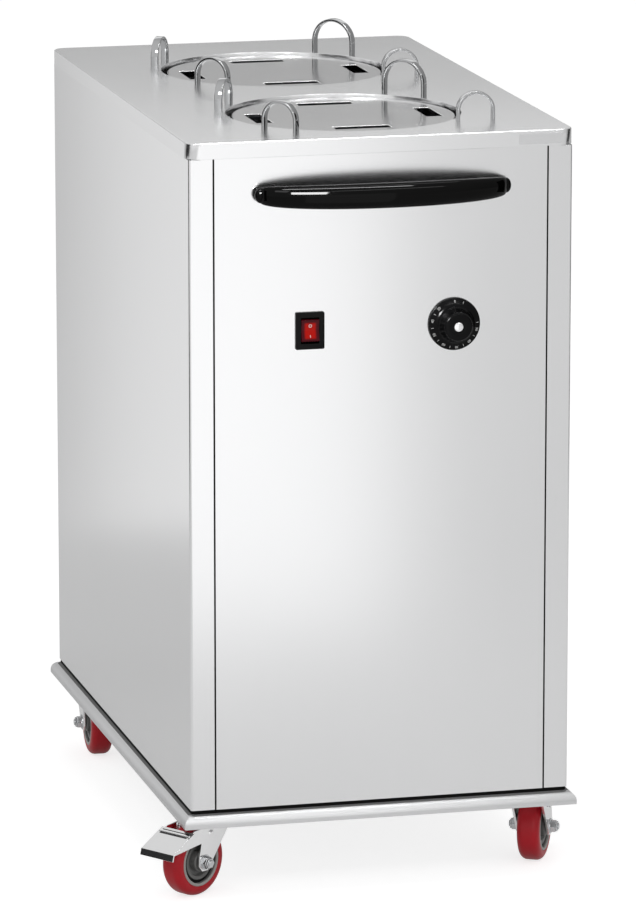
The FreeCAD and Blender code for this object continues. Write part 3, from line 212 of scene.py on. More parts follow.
def add_camera():
    """A long lens that takes in the cart's full height."""
    data = bpy.data.cameras.new("camera")
    data.sensor_fit = "VERTICAL"
    data.sensor_height = SENSOR
    data.lens = CAMERA_LENS
    data.clip_end = 50.0
    camera = bpy.data.objects.new("camera", data)
    camera.location = CAMERA_PLACE
    camera.rotation_euler = CAMERA_TURN
    bpy.context.scene.collection.objects.link(camera)
    bpy.context.scene.camera = camera


add_world()
add_floor()
for lamp in LAMPS:
    add_lamp(*lamp)
for flag in FLAGS:
    add_flag(*flag)
add_camera()
bpy.context.scene.view_settings.view_transform = "Standard"


# ------------------------------------------------------------------ the sheet steel cabinet
# Folded stainless sheet with a fine satin grain: two side panels with their pillars, a front
# and a rear panel between them, the top cover with its wells, and the blank badge plate.
STAINLESS_TONE = (0.82, 0.822, 0.828)
# darker than the panels' steel, which paints shade over the tray's highlight; the badge plate
# shares it
RIM_SHADED_TONE = (0.68, 0.682, 0.688)
GRAIN_UP = (1500, 1500, 10)
GRAIN_BACK = (1500, 10, 1500)
GRAIN_ACROSS = (12, 1500, 1500)
SHEET_EDGE = 0.35 * MM
PLATE_EDGE = 0.15 * MM
WELD_WITHIN = 0.002 * MM
FLAT_WITHIN = math.radians(0.8)
EDGE_FROM = math.radians(40)
RUBBED_PALER = 0.08
RUBBED_SMOOTHER = -0.12


def new_group(name, inputs, outputs):
    """A shader node group with named sockets: its tree, what comes in and what goes out."""
    tree = bpy.data.node_groups.new(name, "ShaderNodeTree")
    for label, kind, value in inputs:
        socket = tree.interface.new_socket(
            name=label, in_out="INPUT", socket_type="NodeSocket" + kind)
        socket.default_value = value
    for label, kind in outputs:
        tree.interface.new_socket(name=label, in_out="OUTPUT", socket_type="NodeSocket" + kind)
    start, end = tree.nodes.new("NodeGroupInput"), tree.nodes.new("NodeGroupOutput")
    return tree, start.outputs, end.inputs


def grain_group():
    """Long fine lines of a ground or drawn surface, with broad soft cloudiness over them."""
    tree, given, result = new_group(
        "satin_grain",
        [("Stretch", "Vector", (1400, 1400, 9)), ("Base Roughness", "Float", 0.3),
         ("Roughness Swing", "Float", 0.08), ("Tone Swing", "Float", 0.05),
         ("Line Depth", "Float", 0.02)],
        [("Roughness", "Float"), ("Tone", "Float"), ("Normal", "Vector")])
    place = add_node(tree, "TexCoord").outputs["Object"]
    stretched = add_node(tree, "VectorMath", place, given["Stretch"], operation="MULTIPLY")
    wide = add_node(tree, "VectorMath", stretched, operation="SCALE", Scale=0.16)
    fine = add_node(tree, "TexNoise", Vector=stretched, Scale=1.0, Detail=3.0, Roughness=0.6)
    streak = add_node(tree, "TexNoise", Vector=wide, Scale=1.0, Detail=2.0)
    cloud = add_node(tree, "TexNoise", Vector=place, Scale=3.5, Detail=4.0, Roughness=0.55)
    lines = add_node(tree, "Mix", data_type="FLOAT", Factor=0.45, A=fine, B=streak)
    both = add_node(tree, "Mix", data_type="FLOAT", Factor=0.4, A=lines, B=cloud)
    swing = add_node(tree, "Math", both, 0.5, operation="SUBTRACT")
    rough = add_node(
        tree, "Math", swing, given["Roughness Swing"], given["Base Roughness"],
        operation="MULTIPLY_ADD")
    tone = add_node(tree, "Math", swing, given["Tone Swing"], 1.0, operation="MULTIPLY_ADD")
    bump = add_node(tree, "Bump", Strength=given["Line Depth"], Distance=0.0002, Height=lines)
    for label, node in (("Roughness", rough), ("Tone", tone), ("Normal", bump)):
        feed(tree, result[label], node)
    return tree


def wear_group():
    """One along the outer edges, broken up by noise, where hands and cloths polish a surface."""
    tree, given, result = new_group(
        "edge_wear",
        [("Width", "Float", 0.0012), ("Break Up", "Float", 60.0), ("Amount", "Float", 0.6)],
        [("Mask", "Float")])
    rounded = add_node(tree, "Bevel", given["Width"], samples=4)
    flat = add_node(tree, "NewGeometry").outputs["Normal"]
    turn = add_node(tree, "VectorMath", rounded, flat, operation="DOT_PRODUCT")
    edge = map_range(tree, turn.outputs["Value"], 0.995, 0.8, 0.0, 1.0, kind="LINEAR")
    place = add_node(tree, "TexCoord").outputs["Object"]
    noise = add_node(tree, "TexNoise", Vector=place, Scale=given["Break Up"], Detail=3.0)
    patchy = add_node(tree, "Math", edge, noise, operation="MULTIPLY")
    mask = add_node(tree, "Math", patchy, given["Amount"], operation="MULTIPLY", use_clamp=True)
    feed(tree, result["Mask"], mask)
    return tree


SATIN_GRAIN = grain_group()
EDGE_WEAR = wear_group()


def grained(name, tone, worn_tone, wear, smoother, grain, **skin):
    """A material whose tone and roughness follow a grain, and change on its worn edges."""
    material = bpy.data.materials.new(name)
    tree = shader_tree(material)
    lines = add_node(tree, "Group", node_tree=SATIN_GRAIN, **grain).outputs
    edges = add_node(tree, "Group", node_tree=EDGE_WEAR, Amount=wear)
    shade = add_node(
        tree, "Mix", data_type="RGBA", blend_type="MULTIPLY",
        Factor=1.0, A=(*tone, 1), B=lines["Tone"])
    worn = add_node(
        tree, "Mix", data_type="RGBA",
        Factor=edges, A=shade.outputs["Result"], B=(*worn_tone, 1))
    rough = add_node(
        tree, "Math", edges, smoother, lines["Roughness"], operation="MULTIPLY_ADD")
    add_node(tree, "OutputMaterial", add_node(
        tree, "BsdfPrincipled", Base_Color=worn.outputs["Result"], Roughness=rough,
        Normal=lines["Normal"], **skin))
    return material


def metal(name, tone, stretch, roughness, swing=0.08, tone_swing=0.05, depth=0.02, wear=0.5):
    """A bare or plated metal with grain along one direction, and edges rubbed brighter."""
    grain = {"Stretch": stretch, "Base_Roughness": roughness, "Roughness_Swing": swing,
             "Tone_Swing": tone_swing, "Line_Depth": depth}
    rubbed = [min(part + RUBBED_PALER, 1) for part in tone]
    return grained(name, tone, rubbed, wear, RUBBED_SMOOTHER, grain, Metallic=1.0)


def dress(node, material, edge=SHEET_EDGE, segments=2):
    """Give a frame part its material, and round its edges a little."""
    obj = nodes[node]
    obj.data.materials.clear()
    obj.data.materials.append(material)
    weld = obj.modifiers.new("weld", "WELD")
    weld.merge_threshold = WELD_WITHIN
    if edge:
        flat = obj.modifiers.new("flats", "DECIMATE")
        flat.decimate_type = "DISSOLVE"
        flat.angle_limit = FLAT_WITHIN
        bevel = obj.modifiers.new("edges", "BEVEL")
        bevel.width = edge
        bevel.segments = segments
        bevel.limit_method = "ANGLE"
        bevel.angle_limit = EDGE_FROM
        bevel.use_clamp_overlap = True
        bevel.harden_normals = True


stainless_upright = metal("stainless_upright", STAINLESS_TONE, GRAIN_UP, 0.21)
stainless_top = metal("stainless_top", STAINLESS_TONE, GRAIN_BACK, 0.24)
stainless_rim_shaded = metal("stainless_rim_shaded", RIM_SHADED_TONE, GRAIN_ACROSS, 0.46)

for name in ("side_panel_left", "side_panel_right", "front_panel", "rear_panel"):
    dress(name, stainless_upright)
dress("top_cover", stainless_top)
# the tray's darker stainless paints shade over its highlight
dress("base_tray", stainless_rim_shaded)
dress("badge_plate", stainless_rim_shaded, PLATE_EDGE)


# ------------------------------------------------------------------ seals with painted shade, and panel screws
# Black foam strips fill the seams beside the front and the rear panel and paint the shade in them.
# A black seal round the foot of the cabinet also paints the shade of the gap under the panels,
# a grey skirt below it paints the tray's top in shade, and pan head screws hold the rear panel.
SEAM_GAP = 2.0 * MM
SEAM_HALF = 0.95 * MM
SEAM_DEEP = 10.0 * MM
SEAM_BACK = 0.9 * MM
SEAM_ROUND = 0.8 * MM
SEAL_TALL = 5.6 * MM
SEAL_OUT = 1.7 * MM
SKIRT_OUT = 5.2 * MM
SEAL_CORNER = 3.5 * MM
SEAL_REACH = 2.5 * MM
CORNER_STEPS = 6
SCREW_IN = 11.0 * MM
SCREW_HEAD = 3.6 * MM
SCREW_UP = 40.0 * MM
SCREW_DOWN = 32.0 * MM
MOULD_GRAIN = {"Stretch": (260, 260, 260), "Tone_Swing": 0.35, "Line_Depth": 0.06}
WORN_GAIN = 1.4
WORN_LIFT = 0.01


def make_object(name, verts, faces, material, smooth_angle=35.0):
    """A mesh object of the cart, smooth where its faces meet at less than an angle."""
    mesh = bpy.data.meshes.new(name)
    mesh.from_pydata([tuple(v) for v in verts], [], faces)
    mesh.validate()
    mesh.materials.append(material)
    mesh.polygons.foreach_set("use_smooth", [True] * len(mesh.polygons))
    mesh.set_sharp_from_angle(angle=math.radians(smooth_angle))
    obj = bpy.data.objects.new(name, mesh)
    bpy.context.scene.collection.objects.link(obj)
    return obj


def rounded_section(half_a, half_b, radius, steps=3):
    """Outline of a bar with rounded corners, as pairs."""
    points = []
    for k, (sa, sb) in enumerate(((1, 1), (-1, 1), (-1, -1), (1, -1))):
        for i in range(steps + 1):
            angle = math.radians(90 * k + 90 * i / steps)
            a = sa * (half_a - radius) + radius * math.cos(angle)
            b = sb * (half_b - radius) + radius * math.sin(angle)
            points.append((a, b))
    return points


def sweep(rings):
    """Vertices and faces of a closed bar through rings of equally many points."""
    count = len(rings[0])
    verts = [point for ring in rings for point in ring]
    faces = [tuple(range(count))[::-1]]
    for k in range(len(rings) - 1):
        for i in range(count):
            j = (i + 1) % count
            faces.append((k * count + i, k * count + j, (k + 1) * count + j, (k + 1) * count + i))
    last = (len(rings) - 1) * count
    faces.append(tuple(range(last, last + count)))
    return verts, faces


def moulded(name, tone, roughness, swing, shine=0.5, wear=0.5):
    """A cast or moulded plastic, with soft cloudiness, a fine skin and paler worn edges."""
    grain = dict(MOULD_GRAIN, Base_Roughness=roughness, Roughness_Swing=swing)
    worn = [part * WORN_GAIN + WORN_LIFT for part in tone]
    return grained(name, tone, worn, wear, 0.0, grain, Specular_IOR_Level=shine)


def loop_faces(total, count):
    """Faces of a closed band of equal outlines, where the last one joins the first."""
    faces = []
    for i in range(total):
        j = (i + 1) % total
        for k in range(count):
            n = (k + 1) % count
            faces.append((i * count + k, j * count + k, j * count + n, i * count + n))
    return faces


def turned(name, outline, origin, axis, material, steps=96, angle=35.0):
    """A turned or moulded round piece. The outline is (radius, along the axis)."""
    axis = Vector(axis).normalized()
    side = axis.orthogonal().normalized()
    up = axis.cross(side)
    verts = []
    for i in range(steps):
        turn = 2 * math.pi * i / steps
        spoke = side * math.cos(turn) + up * math.sin(turn)
        verts += [Vector(origin) + spoke * radius + axis * along for radius, along in outline]
    return make_object(name, verts, loop_faces(steps, len(outline)), material, angle)


def arc_points(centre, radius, first, last, steps):
    """Points of an arc in the outline's own plane, in degrees."""
    points = []
    for i in range(steps + 1):
        angle = math.radians(first + (last - first) * i / steps)
        along, up = radius * math.cos(angle), radius * math.sin(angle)
        points.append((centre[0] + along, centre[1] + up))
    return points


def seam_shade_strip(name, x, outer_y, inward):
    """A foam strip from the foot of the panel up to the cover, whose black paints the seam's
    shade.
    """
    section = rounded_section(SEAM_HALF, SEAM_DEEP / 2, SEAM_ROUND)
    low_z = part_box("front_panel")[0].z
    high_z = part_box("top_cover")[0].z
    middle_y = outer_y + inward * (SEAM_BACK + SEAM_DEEP / 2)
    rings = [[Vector((x + a, middle_y + b, z)) for a, b in section] for z in (low_z, high_z)]
    verts, faces = sweep(rings)
    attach(make_object(name, verts, faces, black_seal_painted_shade), "cabinet")


def foot_band(name, rings, material):
    """A band round the foot of the cabinet. Its outline is (out from the tray's wall, height)."""
    low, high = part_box("side_panel_left")[0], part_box("side_panel_right")[1]
    left, right = low.x + SEAL_REACH, high.x - SEAL_REACH
    near, far = low.y + SEAL_REACH, high.y - SEAL_REACH
    verts = []
    for x, y, first in ((right, far, 0), (left, far, 90), (left, near, 180), (right, near, 270)):
        middle = math.radians(first + 45)
        cx = x - SEAL_CORNER * math.copysign(1, math.cos(middle))
        cy = y - SEAL_CORNER * math.copysign(1, math.sin(middle))
        for i in range(CORNER_STEPS + 1):
            angle = math.radians(first + 90 * i / CORNER_STEPS)
            c, s = math.cos(angle), math.sin(angle)
            for out, z in rings:
                verts.append((cx + (SEAL_CORNER + out) * c, cy + (SEAL_CORNER + out) * s, z))
    faces = loop_faces(4 * (CORNER_STEPS + 1), len(rings))
    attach(make_object(name, verts, faces, material), "cabinet")


def panel_screw(name, x, z):
    """A pan head with its socket."""
    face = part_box("rear_panel")[1].y
    dome = [(0.9 * MM, 1.15 * MM), (0.9 * MM, 2.05 * MM), (2.0 * MM, 1.95 * MM),
            (3.0 * MM, 1.5 * MM), (SCREW_HEAD, 0.6 * MM), (SCREW_HEAD, 0.0)]
    socket = [(0.02 * MM, 0.0), (0.02 * MM, 1.15 * MM)]
    head = turned(name, socket + dome, (x, face, z), (0, 1, 0), screw_steel, 32)
    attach(head, "cabinet")


# black for the foam strips and the foot seal, which also paints the shade in the seams and in the
# gap under the panels
black_seal_painted_shade = moulded("black_seal_painted_shade", (0.004, 0.004, 0.004), 0.7, 0.15, 0.08, 0.1)
# grey that paints the tray's top in shade, on a skirt below the foot seal
grey_painted_shade = moulded("grey_painted_shade", (0.15, 0.15, 0.15), 0.55, 0.15, 0.15, 0.1)
screw_steel = metal("screw_steel", (0.62, 0.625, 0.63), (300, 300, 300), 0.28, 0.12, 0.12, 0.03)
for label, inward in (("front", 1), ("rear", -1)):
    low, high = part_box(label + "_panel")
    outer_y = low.y if label == "front" else high.y
    for side, x in (("left", low.x - SEAM_GAP / 2), ("right", high.x + SEAM_GAP / 2)):
        seam_shade_strip("seam_strip_%s_%s" % (label, side), x, outer_y, inward)
seal_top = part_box("side_panel_left")[0].z
seal_low = seal_top - SEAL_TALL
# a black seal band, which also paints the shade of the gap under the panels
foot_band("foot_seal", [
    (-0.4 * MM, seal_low), (SEAL_OUT, seal_low), (SEAL_OUT, seal_top - 0.6 * MM),
    (SEAL_OUT - 0.6 * MM, seal_top - 0.05 * MM), (-0.4 * MM, seal_top - 0.05 * MM)], black_seal_painted_shade)
# a grey skirt whose colour paints the tray's top in shade
foot_band("seal_skirt", [
    (SEAL_OUT, seal_low), (SKIRT_OUT, seal_low - 1.0 * MM),
    (SKIRT_OUT + 0.2 * MM, seal_low - 0.2 * MM), (SKIRT_OUT - 0.4 * MM, seal_low + 0.3 * MM),
    (SEAL_OUT, seal_low + 1.1 * MM)], grey_painted_shade)
low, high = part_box("rear_panel")
cover_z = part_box("top_cover")[0].z
for k, z in enumerate((low.z + SCREW_UP, (low.z + cover_z) / 2, cover_z - SCREW_DOWN)):
    panel_screw("panel_screw_left_%d" % k, low.x + SCREW_IN, z)
    panel_screw("panel_screw_right_%d" % k, high.x - SCREW_IN, z)


# ------------------------------------------------------------------ posts, rails and frames
# Zinc plated angle posts and rails, and the pressed frames of the two lifts, all inside the
# cabinet. The plating is a little blue, duller than the sheet, and cloudy.
ZINC_TONE = (0.60, 0.61, 0.63)
SHEATH_TONE = (0.30, 0.27, 0.24)
ROD_TONE = (0.74, 0.745, 0.75)
PLATFORM_TONE = (0.84, 0.84, 0.845)
zinc = metal("zinc_plate", ZINC_TONE, (120, 120, 120), 0.38, 0.22, 0.22, 0.03)
heater_sheath = metal("heater_sheath", SHEATH_TONE, (400, 20, 400), 0.42, 0.2, 0.4, 0.04)
rod_steel = metal("ground_rod", ROD_TONE, (60, 60, 2500), 0.16, 0.06, 0.05, 0.02)
platform_steel = metal(
    "polished_platform", PLATFORM_TONE, (300, 30, 300), 0.14, 0.06, 0.04, 0.006)

for name in ("corner_posts", "upper_rails"):
    dress(name, zinc)
for well in ("front", "rear"):
    for name in ("upper_frame_", "lower_frame_", "carrier_"):
        dress(name + well, zinc)
    dress("slide_rods_" + well, rod_steel, 0.4 * MM)
    dress("heater_" + well, heater_sheath, 0)
    dress("platform_" + well, platform_steel, 0.8 * MM, 3)


# ------------------------------------------------------------------ extension springs
# Two close wound springs of bright wire pull each lift up. Each has one eye on a pin of the
# upper frame and the other on a pin of the carrier.
SPRING_TONE = (0.46, 0.46, 0.47)
WIRE_R = 1.2 * MM
COIL_R = 10.0 * MM
COIL_TURNS = 46
TURN_STEPS = 12
NECK = 2.0 * MM
NECK_STEPS = 6
EYE_R = 5.3 * MM
EYE_STEPS = 16
EYE_SIDE = (1, 0, 0)
COIL_END = 16.7 * MM


def wire_rings(spine, radius, sides=7):
    """Rings of points round a line of points, each turned as little as can be from the last."""
    rings = []
    normal = None
    for k, point in enumerate(spine):
        ahead, behind = spine[min(k + 1, len(spine) - 1)], spine[max(k - 1, 0)]
        tangent = (ahead - behind).normalized()
        if normal is None:
            normal = tangent.orthogonal()
        normal = (normal - tangent * normal.dot(tangent)).normalized()
        other = tangent.cross(normal)
        ring = []
        for i in range(sides):
            turn = 2 * math.pi * i / sides
            ring.append(point + (normal * math.cos(turn) + other * math.sin(turn)) * radius)
        rings.append(ring)
    return rings


def eye_point(axis_point, eye_z, degrees):
    """A point of an eye, which is a circle that stands on edge."""
    turn = math.radians(degrees)
    up = Vector((0, 0, eye_z + EYE_R * math.sin(turn)))
    return axis_point + Vector(EYE_SIDE) * (EYE_R * math.cos(turn)) + up


def spring_spine(axis_point, low_z, high_z):
    """The wire's line: eye, neck, coil, neck, eye, from the top down."""
    spine = []
    eye_z = high_z - EYE_R - WIRE_R
    for i in range(EYE_STEPS + 1):
        spine.append(eye_point(axis_point, eye_z, 250 - 340 * i / EYE_STEPS))
    first, last = high_z - COIL_END, low_z + COIL_END
    steps = COIL_TURNS * TURN_STEPS
    for i in range(-NECK_STEPS, steps + NECK_STEPS + 1):
        share = min(max(i / steps, 0.0), 1.0)
        past = max(-i, i - steps, 0) / NECK_STEPS
        turn = 2 * math.pi * i / TURN_STEPS
        radius = COIL_R * (1 - past) ** 0.7
        z = first + (last - first) * share + NECK * past * (1 if i < 0 else -1)
        spine.append(axis_point + Vector((radius * math.cos(turn), radius * math.sin(turn), z)))
    eye_z = low_z + EYE_R + WIRE_R
    for i in range(EYE_STEPS + 1):
        spine.append(eye_point(axis_point, eye_z, 90 + 340 * i / EYE_STEPS))
    return spine


def lift_springs(well):
    """Both springs of a lift, wound from wire between the cabinet and the lift."""
    low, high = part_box("springs_" + well)
    outer = COIL_R + WIRE_R
    middle_y = (low.y + high.y) / 2
    verts, faces = [], []
    for x in (low.x + outer, high.x - outer):
        spine = spring_spine(Vector((x, middle_y, 0)), low.z, high.z)
        some_verts, some_faces = sweep(wire_rings(spine, WIRE_R))
        faces += [tuple(i + len(verts) for i in face) for face in some_faces]
        verts += some_verts
    coils = make_object("springs_%s_coils" % well, verts, faces, spring_wire)
    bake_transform(coils)
    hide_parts("springs_" + well)


spring_wire = metal("spring_wire", SPRING_TONE, (200, 200, 200), 0.30, 0.1, 0.2, 0.05)
for well in ("front", "rear"):
    lift_springs(well)


# ------------------------------------------------------------------ plate guides
# Eight hairpins of polished flat strip, bent cold to a round arch, standing in slots of the
# top cover and of the frames below it. The far one of each well is wider and taller.
GUIDE_TONE = (0.47, 0.475, 0.48)
STRIP_THICK = 3.6 * MM
STRIP_WIDE = 10.0 * MM
STRIP_ROUND = 0.9 * MM
ARCH_STEPS = 40


def plan_direction(node):
    """The long direction of a node seen from above."""
    flat = np.array([v.co[:2] for v in nodes[node].data.vertices])
    flat = flat - flat.mean(0)
    return np.linalg.eigh(flat.T @ flat)[1][:, 1]


def plate_guide(node):
    """A hairpin of strip, on the line of the solid guide that it stands for."""
    low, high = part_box(node)
    along = Vector((*plan_direction(node), 0))
    across = Vector((-along.y, along.x, 0))
    middle = Vector(((low.x + high.x) / 2, (low.y + high.y) / 2, 0))
    spread = max((v.co - middle).dot(along) for v in nodes[node].data.vertices)
    reach = spread - STRIP_THICK / 2
    arch_z = high.z - STRIP_THICK / 2 - reach
    section = rounded_section(STRIP_THICK / 2, STRIP_WIDE / 2, STRIP_ROUND)
    spine = [(reach, low.z, 0.0), (reach, (low.z + arch_z) / 2, 0.0)]
    for i in range(ARCH_STEPS + 1):
        angle = math.pi * i / ARCH_STEPS
        spine.append((reach * math.cos(angle), arch_z + reach * math.sin(angle), angle))
    spine += [(-reach, (low.z + arch_z) / 2, math.pi), (-reach, low.z, math.pi)]
    rings = []
    for x, z, angle in spine:
        ring = []
        for a, b in section:
            up = Vector((0, 0, z + a * math.sin(angle)))
            ring.append(middle + along * (x + a * math.cos(angle)) + across * b + up)
        rings.append(ring)
    verts, faces = sweep(rings)
    piece = make_object(node + "_strip", verts, faces, guide_steel)
    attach(piece, "cabinet")
    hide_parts(node)


guide_steel = metal("polished_strip", GUIDE_TONE, (400, 400, 60), 0.07, 0.08, 0.1, 0.03)
for well in ("front", "rear"):
    for spot in ("left", "near", "right", "far"):
        plate_guide("plate_guide_%s_%s" % (well, spot))


# ------------------------------------------------------------------ casters
# Bought swivel casters: chrome plated pressed plate and fork, a grey moulded wheel centre,
# and a deep red tread cast round it. The front two have a sprung pedal plate.
CORNERS = ("front_left", "front_right", "rear_left", "rear_right")
BRAKED = CORNERS[:2]
WHEEL_R = 44.0 * MM
TREAD_HALF = 14.5 * MM
SHOULDER = 9.0 * MM
RIM_R = 31.0 * MM
GROOVE_R = 28.0 * MM
DISH_R = 23.5 * MM
HUB_R = 12.0 * MM
HUB_HALF = 16.0 * MM
BORE_R = 4.05 * MM
FORK_OUT = 21.05 * MM
AXLE_NUT_END = 28.0 * MM
AXLE_END = 31.9 * MM
LOCK_NUT = 2.4 * MM
THREAD_PITCH = 0.5 * MM
PEDAL_PIVOT = (-26.0 * MM, 80.0 * MM)
PEDAL_CHEEK = 23.5 * MM
PEDAL_BEND = (-60.0 * MM, 86.9 * MM)
PEDAL_LIP = (-98.0 * MM, 67.0 * MM)
# where the black strip that paints the shade under the pedal's lip sits
PEDAL_LIP_SHADE = (-99.3 * MM, 63.4 * MM)
LIP_SHADE_LEAN = math.radians(76)


def mirrored(outline):
    """The outline's other half, on the far side of the wheel's middle."""
    return [(r, -a) for r, a in reversed(outline)]


def wheel(corner):
    """Tread, wheel centre and rings, at the place and on the axis of the wheel's joint."""
    joint = joints["wheel_spin_" + corner]
    origin, axis = Vector(joint["pos_m"]), Vector(joint["axis"])
    body = "wheel_" + corner
    half = TREAD_HALF
    shoulder = arc_points((WHEEL_R - SHOULDER, half - SHOULDER), SHOULDER, 0, 90, 8)
    outline = [(RIM_R, half - 1.2 * MM), (RIM_R + 1.5 * MM, half)] + shoulder[::-1]
    outline += mirrored(outline)
    tread = turned("tread_" + corner, outline, origin, axis, red_tread)
    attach(tread, body)
    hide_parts("caster_wheel_" + corner)
    face = half - 0.9 * MM
    outline = [
        (BORE_R, HUB_HALF), (HUB_R, HUB_HALF), (HUB_R + 1 * MM, HUB_HALF - 1 * MM),
        (HUB_R + 1.5 * MM, face - 7 * MM), (DISH_R - 6 * MM, face - 7 * MM),
        (DISH_R - 4 * MM, face - 2.5 * MM), (DISH_R, face - 2 * MM),
        (DISH_R + 0.4 * MM, face - 5 * MM), (GROOVE_R, face - 5 * MM),
        (GROOVE_R + 0.2 * MM, face - 1 * MM), (RIM_R, face - 1 * MM),
    ]
    outline += mirrored(outline)
    hub = turned("wheel_centre_" + corner, outline, origin, axis, grey_hub)
    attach(hub, body)
    rings = (
        # a black ring in the groove paints the shade in that recess
        ("groove_ring", groove_painted_shade, (
            (DISH_R + 0.5 * MM, face - 4.9 * MM), (GROOVE_R - 0.1 * MM, face - 4.9 * MM),
            (GROOVE_R - 0.1 * MM, face - 4.0 * MM), (DISH_R + 0.5 * MM, face - 4.0 * MM))),
        ("rim_ring", pale_ring, (
            (GROOVE_R, face - 1.4 * MM), (RIM_R + 0.8 * MM, face - 1.4 * MM),
            (RIM_R + 0.6 * MM, face + 0.5 * MM), (RIM_R + 0.1 * MM, face + 0.9 * MM),
            (GROOVE_R + 0.9 * MM, face + 0.9 * MM), (GROOVE_R, face + 0.2 * MM))),
    )
    for side, label in ((1, "a"), (-1, "b")):
        for name, material, ring in rings:
            outline = [(r, a * side) for r, a in ring]
            piece = turned("%s_%s_%s" % (name, label, corner), outline, origin, axis, material)
            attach(piece, body)


def caster_frame(corner):
    """The caster's pivot on the floor, its forward direction and the direction across it."""
    pivot = Vector(joints["swivel_" + corner]["pos_m"])
    hub = Vector(joints["wheel_spin_" + corner]["pos_m"])
    forward = Vector((pivot.x - hub.x, pivot.y - hub.y, 0)).normalized()
    return Vector((pivot.x, pivot.y, 0)), forward, Vector((-forward.y, forward.x, 0))


def hexagon_nut(name, origin, axis, radius, start, length):
    """A nut with chamfered corners, on an axis, from a start along it."""
    edge = 0.6 * MM
    end = start + length
    side = Vector((0, 0, 1))
    other = axis.cross(side)
    levels = []
    for share, along in ((0.93, start), (1.0, start + edge), (1.0, end - edge), (0.93, end)):
        ring = []
        for i in range(6):
            turn = math.pi * i / 3
            spoke = side * math.sin(turn) + other * math.cos(turn)
            ring.append(origin + axis * along + spoke * radius * share)
        levels.append(ring)
    verts, faces = sweep(levels)
    return make_object(name, verts, faces, zinc_bright, 20)


def axle_ends(corner):
    """Washer, lock nut and cut thread at each end of the axle bolt."""
    joint = joints["wheel_spin_" + corner]
    hub, along = Vector(joint["pos_m"]), Vector(joint["axis"]).normalized()
    ring = [(4.2 * MM, FORK_OUT), (9.3 * MM, FORK_OUT), (9.6 * MM, FORK_OUT + 0.4 * MM),
            (9.3 * MM, FORK_OUT + 1.2 * MM), (4.2 * MM, FORK_OUT + 1.2 * MM)]
    crests = [(3.4 * MM, AXLE_NUT_END), (4.25 * MM, AXLE_NUT_END)]
    for i in range(3):
        step = AXLE_NUT_END + LOCK_NUT + i * THREAD_PITCH
        crests += [(4.3 * MM, step), (3.75 * MM, step + THREAD_PITCH / 2)]
    crests += [(3.3 * MM, AXLE_END), (0.02 * MM, AXLE_END), (0.02 * MM, AXLE_NUT_END)]
    for side, label in ((1, "a"), (-1, "b")):
        axis = along * side
        end = "_%s_%s" % (label, corner)
        washer = turned("axle_washer" + end, ring, hub, axis, zinc_bright, 48)
        lock = hexagon_nut("axle_lock_nut" + end, hub, axis, 6.9 * MM, AXLE_NUT_END, LOCK_NUT)
        thread = turned("axle_thread" + end, crests, hub, axis, zinc_bright, 40)
        for piece in (washer, lock, thread):
            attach(piece, "swivel_" + corner)


def pedal_bar(name, corner, place, lean, half_tall, half_thick, half_wide, material):
    """A straight bar across a pedal. Its place is (forward, up), and it leans by an angle."""
    origin, forward, across = caster_frame(corner)
    up = Vector((0, 0, 1))
    long_way = forward * math.cos(lean) + up * math.sin(lean)
    thin_way = up * math.cos(lean) - forward * math.sin(lean)
    middle = origin + forward * place[0] + up * place[1]
    section = rounded_section(half_tall, half_thick, min(half_tall, half_thick) * 0.7)
    rings = []
    for w in (-half_wide, half_wide):
        rings.append([middle + across * w + long_way * a + thin_way * b for a, b in section])
    verts, faces = sweep(rings)
    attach(make_object(name, verts, faces, material), "brake_" + corner)


def pedal_details(corner):
    """Black strip at the lip and two black pressed lines, which paint shade, a folded bar, and the
    pivot's rivets.
    """
    slope = math.atan2(PEDAL_BEND[1] - PEDAL_LIP[1], PEDAL_BEND[0] - PEDAL_LIP[0])

    def on_plate(down, rise):
        """Where the plate is, some way down from its bend, and a rise above that."""
        x, z = PEDAL_BEND
        return x - down * math.cos(slope), z + rise - down * math.sin(slope)

    pedal_bar("pedal_grip_" + corner, corner, PEDAL_LIP_SHADE, LIP_SHADE_LEAN,
              2.9 * MM, 0.55 * MM, 25.4 * MM, black_pedal_shade)
    for k, down in enumerate((4.6 * MM, 10.6 * MM)):
        pedal_bar("pedal_line_%d_%s" % (k, corner), corner, on_plate(down, 0.15 * MM), slope,
                  0.9 * MM, 0.22 * MM, 22 * MM, black_pedal_shade)
    pedal_bar("pedal_fold_" + corner, corner, on_plate(7.6 * MM, 0.6 * MM), slope,
              1.5 * MM, 0.75 * MM, 24.5 * MM, chrome)
    origin, forward, across = caster_frame(corner)
    pivot = origin + forward * PEDAL_PIVOT[0] + Vector((0, 0, PEDAL_PIVOT[1]))
    dome = [(0.02 * MM, 0), (4.4 * MM, 0), (4.4 * MM, 0.5 * MM), (3.4 * MM, 1.3 * MM),
            (1.9 * MM, 1.7 * MM), (1.6 * MM, 1.1 * MM), (0.02 * MM, 1.1 * MM)]
    for side, label in ((1, "a"), (-1, "b")):
        rivet = turned("pedal_rivet_%s_%s" % (label, corner), dome,
                       pivot + across * side * PEDAL_CHEEK, across * side, chrome, 40)
        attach(rivet, "brake_" + corner)


red_tread = moulded("red_tread", (0.52, 0.010, 0.020), 0.34, 0.12, 0.3, 0.25)
grey_hub = moulded("grey_hub", (0.17, 0.17, 0.165), 0.4, 0.15, 0.4)
pale_ring = moulded("pale_ring", (0.42, 0.41, 0.39), 0.42, 0.12, 0.4)
# black that paints the shade in the wheel's groove
groove_painted_shade = moulded("groove_painted_shade", (0.006, 0.006, 0.006), 0.5, 0.1, 0.1)
